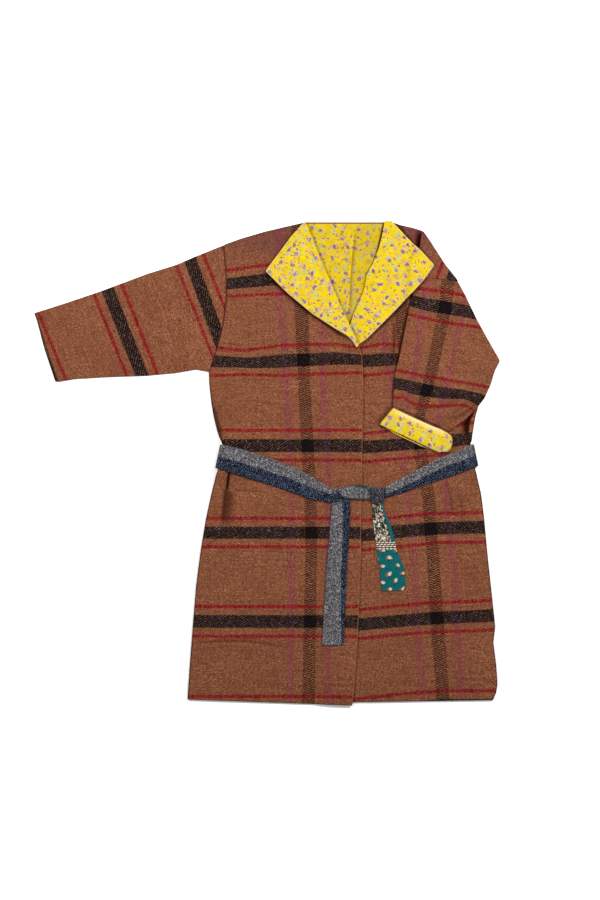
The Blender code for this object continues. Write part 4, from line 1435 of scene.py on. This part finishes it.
def cuff_mouth(layout):
    """The inner layer that shows along the cuff's lower edge."""
    middle = smooth(layout.share / 0.3) * smooth((0.98 - layout.share) / 0.2)
    return CUFF_MOUTH * middle * (1.0 - smooth(layout.from_last / CUFF_MOUTH_DEPTH))


def sleeve_mouth(layout):
    """The lower layer, which shows past the upper one on the lower half of the cuff."""
    lower_half = smooth((1.0 - layout.share) / 0.6)
    return SLEEVE_MOUTH * lower_half * (1.0 - smooth(layout.from_first / SLEEVE_MOUTH_DEPTH))


def lay_folded_sleeve(wool, lined_wool, lining):
    """The left sleeve: its flat root, the shoulder corner turned over, the sleeve on it and the cuff."""
    doubled = 2.0 * CLOTH + SEAM_GAP
    heights, sides = zip(*((row.y, row.right) for row in reversed(BACK_ROWS)))
    near = NEAR_WALL + 1.0
    root = [Section(np.interp(y, heights, sides) + near, y, right, y) for y, right in SLEEVE_ROOT_ROWS]
    body = ("back", "back_lining", "front_left")
    lay_bar("sleeve_left_root", root, root_plaid, wool, doubled, beside=body)
    lay_bar(
        "shoulder_fold", SHOULDER_FOLD, plaid(SHOULDER_ACROSS, SLEEVE_LEFT_ACROSS, level=False), wool,
        doubled + LEFT_SLEEVE_END_AIR - SEAM_GAP, rests_on=("front_left",), taper=40.0, ripple=0.3,
        folds=SHOULDER_FOLDS, shades=edges(),
    )
    steps = (SEAM_GAP, 2.0 * SEAM_GAP, SEAM_GAP, 2.0 * SEAM_GAP)
    last = Section(*(value + step for value, step in zip(CUFF_LEFT[0], steps)))
    flat = 2.0 * CLOTH + LEFT_SLEEVE_END_AIR
    full = 2.0 * CLOTH + SLEEVE_AIR + LEFT_SLEEVE_END_AIR
    lay_tube(
        "sleeve_left", (*SLEEVE_LEFT, last), plaid(SLEEVE_LEFT_ACROSS, SLEEVE_LEFT_ALONG), lined_wool,
        (flat, full, full, full, full), CLOTH, held="folded", rests_on=("front_left", "sleeve_left_root"),
        beside=("shoulder_fold",), end_air=LEFT_SLEEVE_END_AIR, seam_shade_offset=1.4, ripple=0.7, seed=9,
        creases=SLEEVE_LEFT_CREASES, folds=SLEEVE_LEFT_FOLDS,
    )
    cuff = 2.0 * CUFF_WALL + CUFF_AIR
    lay_tube(
        "cuff_left", CUFF_LEFT, printed(-22.0, (31.0, 12.0)), lining, (cuff, cuff + 1.5, cuff + 1.5, cuff),
        CUFF_WALL, held="folded", rests_on=("front_left",), beside=("sleeve_left",), pitch=FINE_GRID,
        end_air=CUFF_AIR, mouth=cuff_mouth, mouth_row=-1, ripple=0.6, seed=2, folds=CUFF_FOLDS,
    )


def lapel_lift(side):
    """A lapel stands up from its roll line to its free edge, which lies clear of the coat."""
    return lambda layout: LAPEL_ROLL + LAPEL_RISE * smooth(getattr(layout, side) / LAPEL_SLOPE)


def lay_fronts_and_lapels(wool, lining):
    """The left lapel, then the right front over it, then the right lapel."""
    lay_panel(
        "lapel_left", LAPEL_LEFT, printed(38.0, (7.0, 3.0)), lining, held="folded",
        rests_on=("front_left", "shoulder_fold", "sleeve_left"), pitch=FINE_GRID, thickness=LAPEL_WALL,
        layers=2, reach=LAPEL_REACH, shape=lapel_lift("from_left"), ripple=0.5, seed=21,
        creases=LAPEL_LEFT_CREASES, shades=edges("from_right"),
    )
    lay_panel(
        "front_right", body_sections(FRONT_RIGHT_ROWS, FRONT_RIGHT_HEM),
        plaid(FRONT_RIGHT_ACROSS, FRONT_RIGHT_ALONG), wool, rests_on=("back", "front_left"),
        air=PANEL_AIR, stiff_right=STIFF_OPENING, reach=OPENING_REACH, ripple=0.8, seed=6,
        creases=FRONT_RIGHT_CREASES, folds=FRONT_RIGHT_FOLDS,
        shades=edges("from_left", "from_right", "from_last"),
    )
    lay_panel(
        "lapel_right", LAPEL_RIGHT, printed(-40.0, (17.0, 9.0)), lining, held="folded",
        rests_on=("front_right",), pitch=FINE_GRID, thickness=LAPEL_WALL, layers=2,
        shape=lapel_lift("from_right"), ripple=0.5, seed=23, creases=LAPEL_RIGHT_CREASES,
        shades=edges("from_left"),
    )


def lay_straight_sleeve(wool):
    """The right sleeve, straight out on the floor. It ends a seam's gap short of the armhole."""
    flat = 2.0 * CLOTH + SLEEVE_END_AIR
    full = 2.0 * CLOTH + SLEEVE_AIR
    low = Section(ARMHOLE_TOP[0] - NEAR_WALL, ARMHOLE_TOP[1], ARMHOLE_LOW[0] - NEAR_WALL, ARMHOLE_LOW[1])
    lay_tube(
        "sleeve_right", (*SLEEVE_RIGHT, low), plaid(SLEEVE_RIGHT_ACROSS, SLEEVE_RIGHT_ALONG, level=False),
        wool, (flat, full, full, full, flat), CLOTH, beside=tuple(PILE.maps), mouth=sleeve_mouth,
        end_line=lambda y: armhole_x(y) - NEAR_WALL, seam_shade_offset=0.9, ripple=0.7, seed=14,
        creases=SLEEVE_RIGHT_CREASES,
    )


def knot_cloth(x, y):
    """The knot's cloth: grey along its band, navy under its left end and where the tail crosses its right."""
    from_left = (x - KNOT_LEFT[0]) + (y - KNOT_LEFT[1]) * KNOT_LEFT_SLOPE
    from_right = (KNOT_RIGHT[0] - x) + (y - KNOT_RIGHT[1]) * KNOT_RIGHT_SLOPE
    lower_side = TRIM[1] - (x - TRIM[0]) * TRIM_SLOPE
    trim = smooth((x - TRIM_SIDES[0]) / 6.0) * smooth((TRIM_SIDES[1] - x) / 6.0)
    trim = smooth((y - lower_side) / 2.0) * trim
    return np.stack([y, np.minimum(from_left, from_right), trim / MM], axis=2)


def lay_belt(tweed, patch):
    """The belt on the front: the long tail, two stretches, the knot over them and the short tail."""
    lay_stretch(
        "belt_tail_left", TAIL_LEFT, tweed, ((0.0, 0.1, 0.35, 0.7, 1.0), (0.5, 0.62, 0.69, 0.78, 0.9)),
        rests_on=("front_right",), way=-1.0,
    )
    lay_stretch(
        "belt_left", BELT_LEFT, tweed, ((0.0, 0.5, 0.85, 1.0), (0.5, 0.5, 0.55, 0.62)),
        rests_on=("front_right", "belt_tail_left"), wrap_first=True, beside=("belt_back",),
    )
    lay_stretch(
        "belt_right", BELT_RIGHT, tweed, ((0.0, 0.2, 0.6, 1.0), (0.3, 0.4, 0.52, 0.5)),
        rests_on=("front_left",), wrap_last=True, beside=("belt_back",),
    )
    lay_bar(
        "belt_knot", KNOT, knot_cloth, tweed, KNOT_HEIGHT, rests_on=("belt_left", "belt_right"),
        pitch=FINE_GRID, reach=4.0, taper=26.0, swell=1.6, swell_width=12.0, layers=1, deepest=-2.4,
        creases=KNOT_CREASES,
    )
    plain = ((0.0, 1.0), (0.0, 0.0))
    dark = (patch[0], tweed[1])
    lay_stretch("belt_tail_right", TAIL_RIGHT, dark, plain, rests_on=("belt_knot",), pieced=True)
    tip = [Section(s.left_x, s.left_y - SEAM_GAP, s.right_x, s.right_y - SEAM_GAP) for s in TAIL_TIP]
    lay_stretch(
        "belt_tip_right", tip, patch, plain, rests_on=("front_left",), beside=("belt_tail_right",),
        start=TIP_START, pieced=True,
    )


def hang_lamp(lamp):
    """A round lamp that faces the middle of the coat's frame."""
    light = bpy.data.lights.new(lamp.name, "AREA")
    light.shape = "DISK"
    light.size = lamp.size
    light.energy = lamp.power
    hung = bpy.data.objects.new(lamp.name, light)
    hung.location = (lamp.x, lamp.y, lamp.z)
    way = Vector((-lamp.x, -lamp.y, -lamp.z))
    hung.rotation_euler = way.to_track_quat("-Z", "Y").to_euler()
    bpy.context.scene.collection.objects.link(hung)


def make_studio():
    """A pale floor, and soft light from all round and from two lamps above it."""
    bpy.ops.mesh.primitive_plane_add(size=FLOOR_SIZE, location=(0.0, 0.0, FLOOR_LEVEL))
    floor = bpy.context.object
    floor.name = "studio_floor"
    floor.data.materials.append(floor_material())
    for lamp in LAMPS:
        hang_lamp(lamp)
    world = bpy.data.worlds.new("studio")
    world.use_nodes = True
    sky = world.node_tree.nodes["Background"].inputs
    sky["Color"].default_value = (1.0, 1.0, 1.0, 1.0)
    sky["Strength"].default_value = SKY
    bpy.context.scene.world = world
    bpy.context.scene.view_settings.view_transform = "Standard"


def set_camera():
    """The camera, straight above the coat, with the photograph's frame."""
    camera = bpy.data.cameras.new("camera")
    camera.lens = LENS
    camera.sensor_width = SENSOR
    camera.clip_end = 50.0
    view = bpy.data.objects.new("camera", camera)
    middle_x = (PHOTO_WIDTH / 2.0 - PHOTO_ORIGIN[0]) * PHOTO_SCALE * MM
    middle_y = (PHOTO_ORIGIN[1] - PHOTO_HEIGHT / 2.0) * PHOTO_SCALE * MM
    distance = PHOTO_HEIGHT * PHOTO_SCALE * MM * LENS / SENSOR
    view.location = (middle_x, middle_y, distance + COAT_TOP)
    bpy.context.scene.collection.objects.link(view)
    bpy.context.scene.camera = view


COAT = bpy.data.collections.new("wrap_coat")
bpy.context.scene.collection.children.link(COAT)
PILE = Pile()

make_studio()
set_camera()
WOOL = wool_material()
INSIDE = inside_material()
PRINT = floral_material()
TWEED = tweed_material()
PATCH = patch_material()

WOOL_LOOK = ((WOOL,), "wool_plaid")
LINED_LOOK = ((WOOL, INSIDE), "wool_plaid")
PRINT_LOOK = ((PRINT,), "floral_lining")
TWEED_LOOK = ((TWEED,), "belt_tweed")
PATCH_LOOK = ((PATCH,), "belt_patch")

lay_belt_back(TWEED_LOOK)
lay_body(WOOL_LOOK, PRINT_LOOK)
lay_folded_sleeve(WOOL_LOOK, LINED_LOOK, PRINT_LOOK)
lay_fronts_and_lapels(WOOL_LOOK, PRINT_LOOK)
lay_straight_sleeve(WOOL_LOOK)
lay_belt(TWEED_LOOK, PATCH_LOOK)
